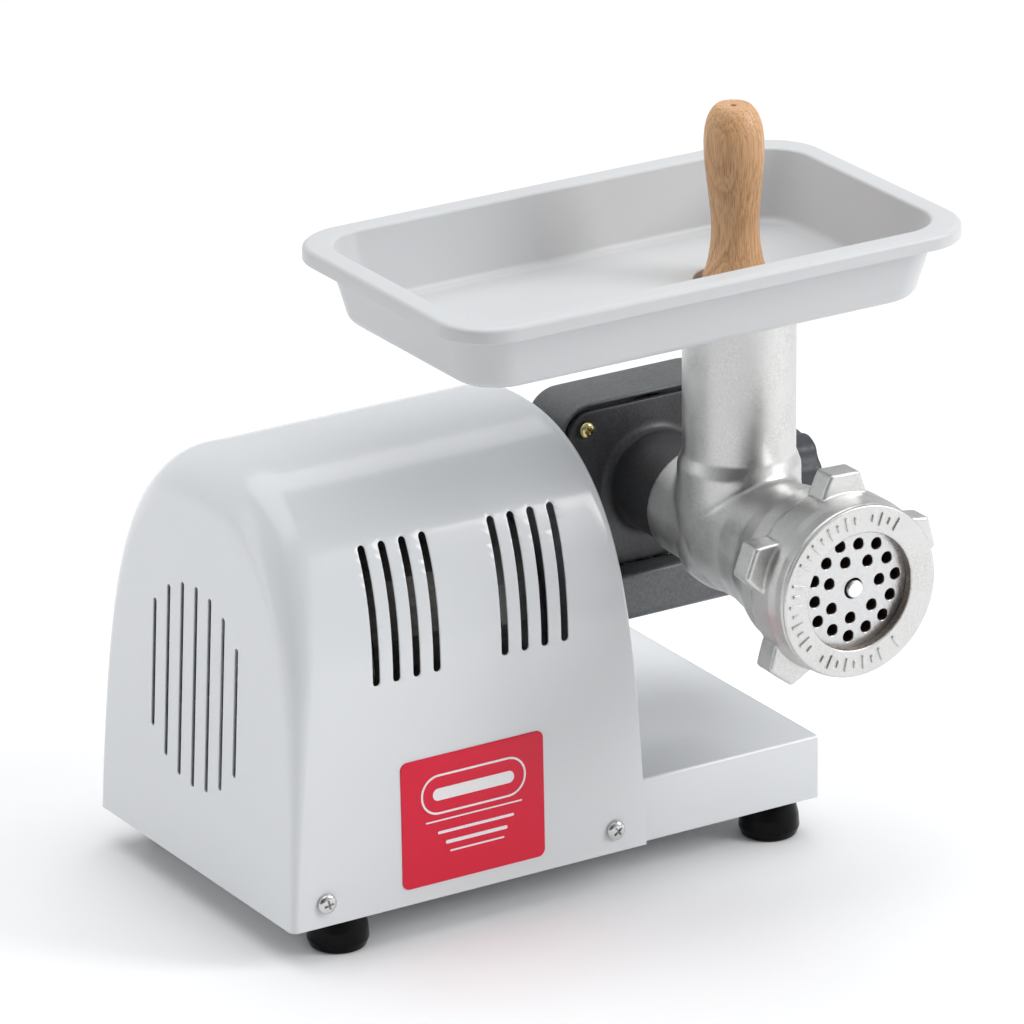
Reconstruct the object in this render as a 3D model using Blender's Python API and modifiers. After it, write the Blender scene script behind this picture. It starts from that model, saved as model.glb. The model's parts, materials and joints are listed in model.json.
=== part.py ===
"""Electric meat grinder: a motor under an arched cover drives the grinding head through a worm gear.

Design numbers are in millimetres, measured from the front left bottom corner of the motor cover:
X runs right, Y runs back, Z runs up. place() turns them into metres about the object's origin,
which is the bottom centre of the whole machine's box.
"""

import math

import bmesh
import bpy
from mathutils import Matrix, Vector

MM = 0.001
GAP = 0.35                  # clearance left between neighbouring pieces

# Motor cover: an arch with drafted, rounded ends, closed at the left and open at the right.
COVER_LENGTH = 210.5
COVER_DEPTH = 198.0
COVER_HEIGHT = 220.0
COVER_WALL = 2.5
END_DRAFT = 0.047           # how far both ends lean in for each millimetre of height
SIDE_DRAFT = 0.015
ARCH_TOP_POWER = 4.4
ARCH_SIDE_POWER = 2.3
LEFT_END_RADIUS = (8.0, 28.0)    # at the bottom, at the top
RIGHT_END_RADIUS = (0.2, 9.0)
SLOT_WIDTH = 3.6
SLOT_PITCH = 11.8
SLOT_GROUPS = (54.0, 129.5)      # X of the first slot in each front group
SLOTS_IN_GROUP = 4
SLOT_BOTTOM = 120.7
SLOT_TOP = 189.0
GRILLE_SLOTS = 7
GRILLE_PITCH = 13.8
GRILLE_RADIUS = 59.0
GRILLE_SLOT_WIDTH = 3.0
GRILLE_CENTRE = (103.0, 96.0)    # Y, Z

# Base pan and feet.
BASE_LEFT = 5.0
BASE_RIGHT = 319.0
BASE_FRONT = 4.2
BASE_BACK = COVER_DEPTH - BASE_FRONT
BASE_HEIGHT = 35.0
SHEET = 1.5
FOOT_HEIGHT = 20.0
FOOT_X = (37.0, 298.0)
FOOT_Y = (18.5, COVER_DEPTH - 18.5)
COVER_SCREW_X = (20.0, 191.5)
COVER_SCREW_Z = 12.5

# Motor and worm: one shaft along X.
MOTOR_Y = COVER_DEPTH / 2
MOTOR_Z = 110.0
STATOR_RADIUS = 58.0
STATOR = (75.0, 150.0)           # X of the stator's ends
PANEL_X = (188.0, 190.0)
NOSE_RADIUS = 27.0
SHAFT_RADIUS = 5.0

# Worm gear: a single-start worm under a 24-tooth wheel.
HEAD_X = 266.0                   # axis of the output shaft and of the grinding head
HEAD_Z = 164.0
WHEEL_TEETH = 24
WHEEL_PITCH_RADIUS = 40.0
WORM_PITCH_RADIUS = HEAD_Z - MOTOR_Z - WHEEL_PITCH_RADIUS
LEAD = 2 * math.pi * WHEEL_PITCH_RADIUS / WHEEL_TEETH
WHEEL_WIDTH = 14.0
WHEEL_TIP_RADIUS = 42.6
WHEEL_ROOT_RADIUS = 36.3
WORM_TIP_RADIUS = 16.9
WORM_ROOT_RADIUS = 10.4
WORM_LENGTH = 44.0

# Gear housing.
HOUSING_LEFT = HEAD_X - 54.7
HOUSING_RIGHT = HEAD_X + 55.0
HOUSING_TOP = HEAD_Z + 48.0
HOUSING_FRONT = 85.0
HOUSING_BACK = 118.0
HOUSING_CORNER = 18.0
GEAR_COVER_FACE = 81.0
GEAR_COVER_BOTTOM = HEAD_Z - 44.3
WORM_BLOCK_Y = (68.0, 130.0)
WORM_BLOCK_Z = (92.0, 119.0)
BOSS_RADIUS = 26.5
BOSS_FRONT = 41.5
GEAR_SCREW_OFFSET = (40.0, 34.5)

# Grinding head: the feed tube stands at Y = THROAT_Y, the mouth faces -Y.
THROAT_Y = -1.0
THROAT_RADIUS = 29.0
THROAT_BORE = 25.0
SHOULDER_Z = 203.0
THROAT_TOP = 294.1
SHANK_RADIUS = 20.0
BARREL_BORE = 26.0
RING_FACE = -111.5
RING_RADIUS = 45.8
RING_OPENING = 30.9
RING_BACK = -80.0
THREAD_RADIUS = 40.7
PLATE_RADIUS = 35.0
PLATE_FACE = -105.0
PLATE_THICKNESS = 8.0
PLATE_HOLE_RADIUS = 3.1
PLATE_HOLE_RINGS = ((15.5, 6.0), (25.2, 6.0), (23.4, 31.7))    # radius, angle of the first hole
HOLES_IN_RING = 7
HEAD_FRONT = -101.0
LUG_ANGLES = tuple(15.5 + 72.0 * turn for turn in range(5))
LUG_TIP_RADIUS = 57.3
LUG_Y = (-94.0, -80.5)
AUGER_RADIUS = 25.2
AUGER_PITCH = 33.0
KNIFE_RADIUS = 33.5
KNIFE_Y = (-96.6, -89.0)
STUD_RADIUS = 4.5
STUD_FRONT = -107.0
SQUARE_TANG = 12.4

# Lock knob on the right of the boss.
KNOB_Y = 55.0
KNOB = (HEAD_X + 52.0, HEAD_X + 77.0)
KNOB_RADIUS = 20.0

# Tray and pusher.
TRAY_X = (51.0, 354.0)
TRAY_Y = (THROAT_Y - 89.0, THROAT_Y + 89.0)
TRAY_Z = (294.5, 334.5)
TRAY_CORNER = 30.0
PUSHER_X = HEAD_X - 1.6
PUSHER_BOTTOM = 191.0
PUSHER_TOP = 393.0

# Electrics on the back.
GLAND_X = 236.0
GLAND_Z = 18.0
GLAND_END = 207.0
SWITCH_X = 45.0
SWITCH_Z = 70.0

ORIGIN = Vector((TRAY_X[1] / 2, (RING_FACE + GLAND_END) / 2, -FOOT_HEIGHT))

AXIS_ROTATION = {
    "X": Matrix.Rotation(math.radians(90), 4, "Y"),
    "Y": Matrix.Rotation(math.radians(-90), 4, "X"),
    "Z": Matrix.Identity(4),
}
OUTLINE_ROTATION = {
    "X": Matrix.Rotation(math.radians(90), 4, "Z") @ Matrix.Rotation(math.radians(90), 4, "X"),
    "Y": Matrix.Rotation(math.radians(90), 4, "X"),
    "Z": Matrix.Identity(4),
}

MATERIALS = {
    "white_enamel": ((0.86, 0.88, 0.89), 0.25, 0.0),
    "white_plastic": ((0.84, 0.86, 0.88), 0.35, 0.0),
    "black_casting": ((0.035, 0.035, 0.04), 0.5, 0.0),
    "black_rubber": ((0.02, 0.02, 0.02), 0.4, 0.0),
    "black_plastic": ((0.03, 0.03, 0.035), 0.4, 0.0),
    "cast_aluminium": ((0.62, 0.63, 0.63), 0.42, 1.0),
    "steel": ((0.62, 0.62, 0.63), 0.3, 1.0),
    "lamination": ((0.30, 0.31, 0.33), 0.5, 1.0),
    "copper": ((0.55, 0.24, 0.12), 0.35, 1.0),
    "bronze": ((0.55, 0.38, 0.18), 0.35, 1.0),
    "brass_screw": ((0.70, 0.58, 0.28), 0.3, 1.0),
    "wood": ((0.62, 0.38, 0.20), 0.5, 0.0),
    "red_label": ((0.75, 0.05, 0.09), 0.35, 0.0),
    "grey_plastic": ((0.30, 0.31, 0.32), 0.5, 0.0),
}


def reset_scene():
    """Remove every object and make the two collections."""
    for item in list(bpy.data.objects):
        bpy.data.objects.remove(item, do_unlink=True)
    parts = bpy.data.collections.new("meat_grinder")
    cutters = bpy.data.collections.new("cutters")
    bpy.context.scene.collection.children.link(parts)
    bpy.context.scene.collection.children.link(cutters)
    return parts, cutters


PARTS, CUTTERS = reset_scene()


def material(name):
    """Return the named Principled material, making it the first time."""
    found = bpy.data.materials.get(name)
    if found:
        return found
    color, roughness, metallic = MATERIALS[name]
    made = bpy.data.materials.new(name)
    made.use_nodes = True
    shader = made.node_tree.nodes["Principled BSDF"]
    shader.inputs["Base Color"].default_value = (*color, 1.0)
    shader.inputs["Roughness"].default_value = roughness
    shader.inputs["Metallic"].default_value = metallic
    made.diffuse_color = (*color, 1.0)
    return made


def place(x, y, z):
    """Turn a design position in millimetres into a world position in metres."""
    return (Vector((x, y, z)) - ORIGIN) * MM


def link(name, mesh, at, rotation, finish):
    """Make an object of a mesh; without a finish it is a tool for Booleans."""
    made = bpy.data.objects.new(name, mesh)
    made.matrix_world = Matrix.Translation(place(*at)) @ rotation
    if finish:
        mesh.materials.append(material(finish))
        PARTS.objects.link(made)
    else:
        CUTTERS.objects.link(made)
        made.hide_render = True
        made.display_type = "WIRE"
    return made


def mesh_from(bm, name):
    """Close a bmesh into a mesh with outward faces, smooth between shallow angles."""
    bmesh.ops.recalc_face_normals(bm, faces=bm.faces)
    mesh = bpy.data.meshes.new(name)
    bm.to_mesh(mesh)
    bm.free()
    mesh.shade_smooth()
    mesh.set_sharp_from_angle(angle=math.radians(35))
    return mesh


def box(name, low, high, finish=None, bevel=0.0, rotation=Matrix.Identity(4)):
    """A box between two corners, with an optional rounded edge."""
    bm = bmesh.new()
    size = [(high[i] - low[i]) * MM for i in range(3)]
    bmesh.ops.create_cube(bm, size=1.0, matrix=Matrix.Diagonal((*size, 1.0)))
    centre = [(high[i] + low[i]) / 2 for i in range(3)]
    made = link(name, mesh_from(bm, name), centre, rotation, finish)
    if bevel:
        add_bevel(made, bevel)
    return made


def add_bevel(item, width, segments=2):
    """Round an object's sharp edges."""
    modifier = item.modifiers.new("rounded_edges", "BEVEL")
    modifier.width = width * MM
    modifier.segments = segments
    modifier.limit_method = "ANGLE"
    modifier.angle_limit = math.radians(40)


def rod(name, radius, start, end, axis, at, finish=None, sides=20):
    """A cylinder along an axis between two positions on it; at holds the other two coordinates."""
    bm = bmesh.new()
    bmesh.ops.create_cone(bm, cap_ends=True, segments=sides, radius1=radius * MM, radius2=radius * MM,
                          depth=(end - start) * MM)
    middle = (start + end) / 2
    centre = {"X": (middle, *at), "Y": (at[0], middle, at[1]), "Z": (*at, middle)}[axis]
    return link(name, mesh_from(bm, name), centre, AXIS_ROTATION[axis], finish)


def turned(name, profile, axis, at, finish=None, sides=28):
    """A turned piece: profile is (radius, position along the axis), ordered either way round."""
    area = sum(a[0] * b[1] - b[0] * a[1] for a, b in zip(profile, profile[1:] + profile[:1]))
    points = profile if area < 0 else profile[::-1]
    on_axis = [point for point in points if point[0] == 0.0]
    closed = not on_axis
    while on_axis and not (points[0][0] == 0.0 and points[-1][0] == 0.0):
        points = points[1:] + points[:1]
    bm = bmesh.new()
    verts = [bm.verts.new((radius * MM, 0.0, along * MM)) for radius, along in points]
    pairs = list(zip(verts, verts[1:]))
    if closed:
        pairs.append((verts[-1], verts[0]))
    for pair in pairs:
        bm.edges.new(pair)
    mesh = bpy.data.meshes.new(name)
    bm.to_mesh(mesh)
    bm.free()
    centre = {"X": (0.0, *at), "Y": (at[0], 0.0, at[1]), "Z": (*at, 0.0)}[axis]
    made = link(name, mesh, centre, AXIS_ROTATION[axis], finish)
    screw = made.modifiers.new("turned", "SCREW")
    screw.steps = sides
    screw.render_steps = sides
    screw.use_merge_vertices = True
    screw.merge_threshold = 0.00001
    screw.use_smooth_shade = False
    return made


def rounded_outline(low, high, radii, steps=5):
    """Corner points of a rectangle with its own radius at each corner, from low left round to the right."""
    corners = ((low[0], low[1], 180), (high[0], low[1], 270), (high[0], high[1], 0), (low[0], high[1], 90))
    points = []
    for (x, y, start), radius in zip(corners, radii):
        centre = (x + math.copysign(radius, (low[0] + high[0]) / 2 - x),
                  y + math.copysign(radius, (low[1] + high[1]) / 2 - y))
        for step in range(steps + 1):
            angle = math.radians(start + 90 * step / steps)
            points.append((centre[0] + radius * math.cos(angle), centre[1] + radius * math.sin(angle)))
    return points


def slab(name, outline, start, end, axis, finish=None):
    """A flat outline given a thickness from start to end along an axis."""
    curve = bpy.data.curves.new(name, "CURVE")
    curve.dimensions = "2D"
    curve.fill_mode = "BOTH"
    curve.extrude = (end - start) / 2 * MM
    spline = curve.splines.new("POLY")
    spline.points.add(len(outline) - 1)
    for point, (u, v) in zip(spline.points, outline):
        point.co = (u * MM, v * MM, 0.0, 1.0)
    spline.use_cyclic_u = True
    guide = bpy.data.objects.new(name + "_outline", curve)
    CUTTERS.objects.link(guide)
    bpy.context.view_layer.update()
    mesh = bpy.data.meshes.new_from_object(guide.evaluated_get(bpy.context.evaluated_depsgraph_get()))
    bpy.data.objects.remove(guide)
    bm = bmesh.new()
    bm.from_mesh(mesh)
    bpy.data.meshes.remove(mesh)
    bmesh.ops.remove_doubles(bm, verts=bm.verts, dist=0.000001)
    middle = (start + end) / 2
    centre = {"X": (middle, 0, 0), "Y": (0, middle, 0), "Z": (0, 0, middle)}[axis]
    return link(name, mesh_from(bm, name), centre, OUTLINE_ROTATION[axis], finish)


def cut(item, *tools):
    """Take tools away from an item."""
    for tool in tools:
        modifier = item.modifiers.new("cut_" + tool.name, "BOOLEAN")
        modifier.operation = "DIFFERENCE"
        modifier.solver = "EXACT"
        modifier.object = tool


def join(item, *tools):
    """Add tools to an item."""
    for tool in tools:
        modifier = item.modifiers.new("join_" + tool.name, "BOOLEAN")
        modifier.operation = "UNION"
        modifier.solver = "EXACT"
        modifier.object = tool


def helix_solid(name, axis, at, start, end, around, along, radius_at, finish):
    """A solid whose radius depends on the angle and the position along its axis."""
    bm = bmesh.new()
    rings = []
    for step in range(along + 1):
        position = start + (end - start) * step / along
        ring = []
        for turn in range(around):
            angle = 2 * math.pi * turn / around
            radius = radius_at(angle, position) * MM
            ring.append(bm.verts.new(axis_offset(axis, angle, radius, position * MM)))
        rings.append(ring)
    for lower, upper in zip(rings, rings[1:]):
        for turn in range(around):
            after = (turn + 1) % around
            bm.faces.new((lower[turn], lower[after], upper[after], upper[turn]))
    bm.faces.new(rings[0])
    bm.faces.new(rings[-1])
    centre = {"X": (0.0, *at), "Y": (at[0], 0.0, at[1])}[axis]
    return link(name, mesh_from(bm, name), centre, Matrix.Identity(4), finish)


def axis_offset(axis, angle, radius, along):
    """A point at an angle about +X (from +Z) or about +Y (from +Z), by the right-hand rule."""
    if axis == "X":
        return along, -radius * math.sin(angle), radius * math.cos(angle)
    return radius * math.sin(angle), along, radius * math.cos(angle)


def thread_profile(phase, lead, root, tip, land, flank):
    """Radius across one thread: phase 0 is the middle of the land."""
    distance = abs((phase + 0.5) % 1.0 - 0.5) * lead
    if distance <= land / 2:
        return tip
    if distance >= land / 2 + flank:
        return root
    return tip + (root - tip) * (distance - land / 2) / flank


# --- Casework ---------------------------------------------------------------------------------

def arch_half(step, steps):
    """Half width and height of the arch at a step from the bottom (0) to the ridge (steps)."""
    angle = math.pi / 2 * step / steps
    height = COVER_HEIGHT * math.sin(angle) ** (2 / ARCH_TOP_POWER)
    half = (COVER_DEPTH / 2 - SIDE_DRAFT * height) * math.cos(angle) ** (2 / ARCH_SIDE_POWER)
    return half, height


def cover_front_y(height):
    """Y of the cover's front face at a height."""
    share = (1 - (height / COVER_HEIGHT) ** ARCH_TOP_POWER) ** (1 / ARCH_SIDE_POWER)
    return COVER_DEPTH / 2 - (COVER_DEPTH / 2 - SIDE_DRAFT * height) * share


def arch(steps, inset=0.0):
    """Arch points (Y, Z) and inward normals, from the front foot over the ridge to the back foot."""
    half = [arch_half(step, steps) for step in range(steps + 1)]
    half[-1] = (0.0, COVER_HEIGHT)
    front = [(COVER_DEPTH / 2 - width, height) for width, height in half]
    back = [(COVER_DEPTH / 2 + width, height) for width, height in half[-2::-1]]
    points = front + back
    result = []
    last = len(points) - 1
    for index, (y, z) in enumerate(points):
        before = points[max(index - 1, 0)]
        after = points[min(index + 1, last)]
        along = Vector((after[0] - before[0], after[1] - before[1])).normalized()
        inward = Vector((along[1], -along[0]))
        if index in (0, last):
            inward = Vector((1.0 if index == 0 else -1.0, 0.0))
        result.append((y + inward[0] * inset, z + inward[1] * inset, inward))
    return result


def end_row(points, radii, turn, left):
    """One row of a rounded end: turn goes from 0 at the side to 90 degrees on the end face."""
    row = []
    for y, z, inward in points:
        radius = radii[0] + (radii[1] - radii[0]) * min(z / COVER_HEIGHT, 1.0) ** 1.8
        inset = radius * (1 - math.cos(turn))
        setback = radius * (1 - math.sin(turn))
        height = max(z + inward[1] * inset, 0.0)
        lean = END_DRAFT * height
        x = lean + setback if left else COVER_LENGTH - lean - setback
        row.append((x, y + inward[0] * inset, height))
    return row


def make_motor_cover():
    """The arched cover: a lofted skin given a wall, then cut for slots and screws."""
    points = arch(11)
    rows = [end_row(points, LEFT_END_RADIUS, math.radians(turn), True) for turn in (90, 67, 45, 22, 0)]
    rows += [end_row(points, RIGHT_END_RADIUS, math.radians(turn), False) for turn in (0, 35, 70)]
    bm = bmesh.new()
    grid = [[bm.verts.new(place(*point)) for point in row] for row in rows]
    for lower, upper in zip(grid, grid[1:]):
        for index in range(len(points) - 1):
            bm.faces.new((lower[index], lower[index + 1], upper[index + 1], upper[index]))
    end = bm.faces.new(grid[0][::-1])
    bm.normal_update()
    if end.normal.x > 0:
        bmesh.ops.reverse_faces(bm, faces=bm.faces)
    bm.normal_update()
    mesh = bpy.data.meshes.new("motor_cover")
    bm.to_mesh(mesh)
    bm.free()
    mesh.shade_smooth()
    mesh.set_sharp_from_angle(angle=math.radians(35))
    cover = bpy.data.objects.new("motor_cover", mesh)
    mesh.materials.append(material("white_enamel"))
    PARTS.objects.link(cover)
    wall = cover.modifiers.new("wall", "SOLIDIFY")
    wall.thickness = COVER_WALL * MM
    wall.offset = -1.0
    wall.use_even_offset = True
    cut(cover, *cover_openings())
    return cover


def slot_tool(name, axis, centre, length, width, reach):
    """A cutter for an upright slot with round ends."""
    low = (centre[0] - width / 2, centre[1] - length / 2)
    high = (centre[0] + width / 2, centre[1] + length / 2)
    outline = rounded_outline(low, high, [width / 2 - 0.01] * 4, 2)
    return slab(name, outline, reach[0], reach[1], axis)


def cover_openings():
    """Front slots, the round grille on the left end, screw holes and the switch window."""
    tools = []
    middle = (SLOT_BOTTOM + SLOT_TOP) / 2
    for group, first in enumerate(SLOT_GROUPS):
        for index in range(SLOTS_IN_GROUP):
            x = first + SLOT_PITCH * index
            name = f"front_slot_{group}_{index}"
            tools.append(slot_tool(name, "Y", (x, middle), SLOT_TOP - SLOT_BOTTOM, SLOT_WIDTH, (-5, 40)))
    for index in range(GRILLE_SLOTS):
        offset = (index - (GRILLE_SLOTS - 1) / 2) * GRILLE_PITCH
        length = 2 * math.sqrt(GRILLE_RADIUS ** 2 - offset ** 2)
        centre = (GRILLE_CENTRE[0] + offset, GRILLE_CENTRE[1])
        tools.append(slot_tool(f"grille_slot_{index}", "X", centre, length, GRILLE_SLOT_WIDTH, (-5, 20)))
    for x in COVER_SCREW_X:
        tools.append(rod(f"screw_hole_{x:.0f}", 2.4, -5, COVER_DEPTH + 5, "Y", (x, COVER_SCREW_Z), sides=8))
    low = (SWITCH_X - 10, 180, SWITCH_Z - 14)
    tools.append(box("switch_window", low, (SWITCH_X + 10, 205, SWITCH_Z + 14)))
    return tools


def make_base_pan():
    """Folded sheet pan: closed top and sides, with a return flange round the open underside."""
    outline = rounded_outline((BASE_LEFT, BASE_FRONT), (BASE_RIGHT, BASE_BACK), (6, 2, 2, 6), 2)
    inner = rounded_outline((BASE_LEFT + SHEET, BASE_FRONT + SHEET),
                            (BASE_RIGHT - SHEET, BASE_BACK - SHEET), (4.5, 0.8, 0.8, 4.5), 2)
    pan = slab("base_pan", outline, 0.0, BASE_HEIGHT, "Z", "white_enamel")
    hollow = slab("pan_hollow", inner, SHEET, BASE_HEIGHT - SHEET, "Z")
    opening = box("pan_opening", (62, 38, -2), (273, COVER_DEPTH - 38, SHEET + 1))
    holes = [rod(f"pan_foot_hole_{x:.0f}_{y:.0f}", 2.9, -2, SHEET + 1, "Z", (x, y), sides=10)
             for x in FOOT_X for y in FOOT_Y]
    holes += [rod(f"pan_side_hole_{x:.0f}", 2.4, -2, COVER_DEPTH + 2, "Y", (x, COVER_SCREW_Z), sides=8)
              for x in COVER_SCREW_X]
    holes.append(rod("pan_gland_hole", 6.4, 180, 200, "Y", (GLAND_X, GLAND_Z), sides=16))
    wires = rod("pan_wire_hole", 8.0, BASE_HEIGHT - 3, BASE_HEIGHT + 2, "Z", (40, 150), sides=12)
    cut(pan, hollow, opening, *holes, wires)


def make_feet():
    """Rubber feet with a deep socket for the screw that holds each one."""
    for row, y in zip(("front", "back"), FOOT_Y):
        for side, x in zip(("left", "right"), FOOT_X):
            top = -GAP
            profile = [(2.9, top), (13.2, top), (15.4, -9.0), (16.0, -13.0), (15.0, -17.0),
                       (12.0, -FOOT_HEIGHT), (6.5, -FOOT_HEIGHT), (6.5, -12.0), (2.9, -12.0)]
            turned(f"foot_{row}_{side}", profile, "Z", (x, y), "black_rubber", 12)
            screw = [(0.0, SHEET + 6), (2.4, SHEET + 6), (2.4, -12.4), (5.2, -12.4), (5.2, -14.2),
                     (4.0, -15.6), (0.0, -16.0)]
            made = turned(f"foot_screw_{row}_{side}", screw, "Z", (x, y), "steel", 8)
            cut(made, box(f"foot_slot_{row}_{side}", (x - 7, y - 0.6, -17), (x + 7, y + 0.6, -14.4)))


def pan_head_screw(name, at, outward, head, shank, finish):
    """A pan-head screw along Y; outward is the sign of the way its head faces."""
    radius, height = head
    shank_radius, length = shank
    profile = [(0.0, height * outward), (radius * 0.55, height * 0.94 * outward),
               (radius * 0.9, height * 0.6 * outward), (radius, 0.0), (shank_radius, 0.0),
               (shank_radius, -length * outward), (0.0, -length * outward)]
    made = turned(name, profile, "Y", (at[0], at[2]), finish, 8)
    made.matrix_world = Matrix.Translation(place(*at)) @ AXIS_ROTATION["Y"]
    return made


def make_cover_screws():
    """Four screws through the cover's lower edge into the base pan."""
    y = cover_front_y(COVER_SCREW_Z)
    for side, x in zip(("left", "right"), COVER_SCREW_X):
        front = (x, y - GAP, COVER_SCREW_Z)
        back = (x, COVER_DEPTH - y + GAP, COVER_SCREW_Z)
        pan_head_screw(f"cover_screw_front_{side}", front, -1, (5.3, 2.8), (2.0, 9), "steel")
        pan_head_screw(f"cover_screw_back_{side}", back, 1, (5.3, 2.8), (2.0, 9), "steel")


def make_label_plate():
    """A thin rounded label on the cover's front."""
    low, high = (66.0, 8.0), (150.5, 77.0)
    lean = math.atan2(cover_front_y(high[1]) - cover_front_y(low[1]), high[1] - low[1])
    outline = rounded_outline((low[0], low[1] - 42.5), (high[0], high[1] - 42.5), (4, 4, 4, 4), 3)
    made = slab("label_plate", outline, -0.3, 0.3, "Y", "red_label")
    y = (cover_front_y(low[1]) + cover_front_y(high[1])) / 2 - 1.0
    made.matrix_world = (Matrix.Translation(place(0, y, 42.5)) @ Matrix.Rotation(-lean, 4, "X")
                         @ OUTLINE_ROTATION["Y"])


def make_end_panel():
    """Upright sheet inside the cover's open end; the motor's nose passes through it."""
    edge = [(y, z) for y, z, _ in arch(12, COVER_WALL + 1.6) if z > BASE_HEIGHT + 8]
    bottom = BASE_HEIGHT + GAP
    outline = [(edge[0][0], bottom)] + edge + [(edge[-1][0], bottom)]
    panel = slab("end_panel", outline, PANEL_X[0], PANEL_X[1], "X", "white_enamel")
    foot = box("panel_foot", (PANEL_X[0] - 14, 20, bottom), (PANEL_X[1] - 0.5, COVER_DEPTH - 20, bottom + 2))
    join(panel, foot)
    cut(panel, rod("panel_hole", NOSE_RADIUS + GAP, PANEL_X[0] - 5, PANEL_X[1] + 5, "X", (MOTOR_Y, MOTOR_Z)))


# --- Motor ------------------------------------------------------------------------------------

def make_motor():
    """Stator, windings, end bells and bearings, with the cradle and the capacitor beside them."""
    at = (MOTOR_Y, MOTOR_Z)
    left, right = STATOR
    ring = [(30.0, left), (STATOR_RADIUS, left), (STATOR_RADIUS, right), (30.0, right)]
    turned("motor_stator", ring, "X", at, "lamination", 24)
    for name, near, far in (("winding_rear", left - GAP, left - 12),
                            ("winding_front", right + GAP, right + 12)):
        middle = (near + far) / 2
        profile = [(34.0, near), (50.0, near), (52.0, middle), (47.0, far), (38.0, far), (33.0, middle)]
        turned(name, profile, "X", at, "copper", 16)
    rear = [(STATOR_RADIUS, left - GAP), (STATOR_RADIUS, 56.0), (52.0, 50.0), (15.0, 47.0), (11.3, 47.0),
            (11.3, 55.0), (7.0, 55.0), (7.0, 58.0), (15.0, 58.0), (15.0, 52.0), (50.0, 54.0), (55.0, 58.0),
            (55.0, left - GAP)]
    bell = turned("motor_bell_rear", rear, "X", at, "cast_aluminium", 16)
    vents = []
    for index in range(4):
        angle = math.radians(45 + 90 * index)
        spot = (MOTOR_Y + 34 * math.sin(angle), MOTOR_Z + 34 * math.cos(angle))
        vents.append(rod(f"bell_vent_{index}", 8.0, 40, 60, "X", spot, sides=8))
    cut(bell, *vents)
    front = [(STATOR_RADIUS, right + GAP), (STATOR_RADIUS, 172.0), (52.0, 180.0), (NOSE_RADIUS, 183.0),
             (NOSE_RADIUS, HOUSING_LEFT - GAP), (11.3, HOUSING_LEFT - GAP), (11.3, 200.0), (7.0, 200.0),
             (7.0, 196.0), (22.0, 196.0), (22.0, 180.0), (50.0, 177.0), (55.0, 170.0), (55.0, right + GAP)]
    turned("motor_bell_front", front, "X", at, "cast_aluminium", 18)
    bearing("bearing_rear", (47.6, 54.6), at)
    bearing("bearing_front", (200.4, 207.4), at)
    make_cradle()
    make_capacitor()


def bearing(name, span, at):
    """A ball bearing as one ring with its shield grooves."""
    near, far = span
    profile = [(SHAFT_RADIUS + 0.2, near), (7.0, near), (8.2, near + 0.7), (9.6, near), (10.95, near),
               (10.95, far), (9.6, far), (8.2, far - 0.7), (7.0, far), (SHAFT_RADIUS + 0.2, far)]
    turned(name, profile, "X", at, "steel", 16)


def make_cradle():
    """The saddle that carries the stator on the base pan."""
    low = (88.0, MOTOR_Y - 45, BASE_HEIGHT + GAP)
    high = (137.0, MOTOR_Y + 45, 74.0)
    cradle = box("motor_cradle", low, high, "cast_aluminium")
    seat = rod("cradle_seat", STATOR_RADIUS + GAP, low[0] - 5, high[0] + 5, "X", (MOTOR_Y, MOTOR_Z), sides=32)
    window = box("cradle_window", (low[0] - 5, MOTOR_Y - 24, 30), (high[0] + 5, MOTOR_Y + 24, 46))
    cut(cradle, seat, window)


def make_capacitor():
    """The run capacitor and the clamp that holds it to the base pan."""
    capacitor = [(0.0, 62.0), (15.5, 62.0), (17.0, 63.5), (17.0, 118.0), (15.5, 119.5), (0.0, 119.5)]
    centre = (167.0, 60.0)
    can = turned("capacitor", capacitor, "X", centre, "grey_plastic", 20)
    join(can, *[box(f"terminal_{side}", (119, centre[0] + side - 2, 59.6), (127, centre[0] + side + 2, 60.4))
                for side in (-6, 6)])
    clamp_ring = rod("capacitor_clamp", 19.0, 84.0, 96.0, "X", centre, "steel", 20)
    cut(clamp_ring, rod("clamp_bore", 17.0 + GAP, 80, 100, "X", centre, sides=20))
    join(clamp_ring, box("clamp_foot", (84.5, centre[0] - 6, BASE_HEIGHT + GAP), (95.5, centre[0] + 6, 42.2)))


def steps_of_turn(count):
    """Angles that share out one turn."""
    return [2 * math.pi * index / count for index in range(count)]


def make_rotor():
    """Everything that turns with the motor shaft."""
    at = (MOTOR_Y, MOTOR_Z)
    shaft = [(0.0, 27.0), (SHAFT_RADIUS - 0.6, 27.0), (SHAFT_RADIUS, 27.8), (SHAFT_RADIUS, 312.4),
             (SHAFT_RADIUS - 0.6, 313.0), (0.0, 313.0)]
    turned("motor_shaft", shaft, "X", at, "steel", 16)
    core = [(SHAFT_RADIUS + GAP, 77.0), (29.4, 77.0), (29.4, 148.0), (SHAFT_RADIUS + GAP, 148.0)]
    turned("rotor_core", core, "X", at, "lamination", 24)
    fan = turned("cooling_fan", [(SHAFT_RADIUS + GAP, 29.0), (12.0, 29.0), (12.0, 40.0), (26.0, 41.5),
                                 (26.0, 43.5), (SHAFT_RADIUS + GAP, 43.5)], "X", at, "black_plastic", 20)
    for index in range(7):
        join(fan, fan_blade(index))
    worm = helix_solid("worm", "X", at, HEAD_X - WORM_LENGTH / 2, HEAD_X + WORM_LENGTH / 2, 12, 30,
                       worm_radius, "steel")
    cut(worm, rod("worm_bore", SHAFT_RADIUS + GAP, 230, 300, "X", at))


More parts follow.
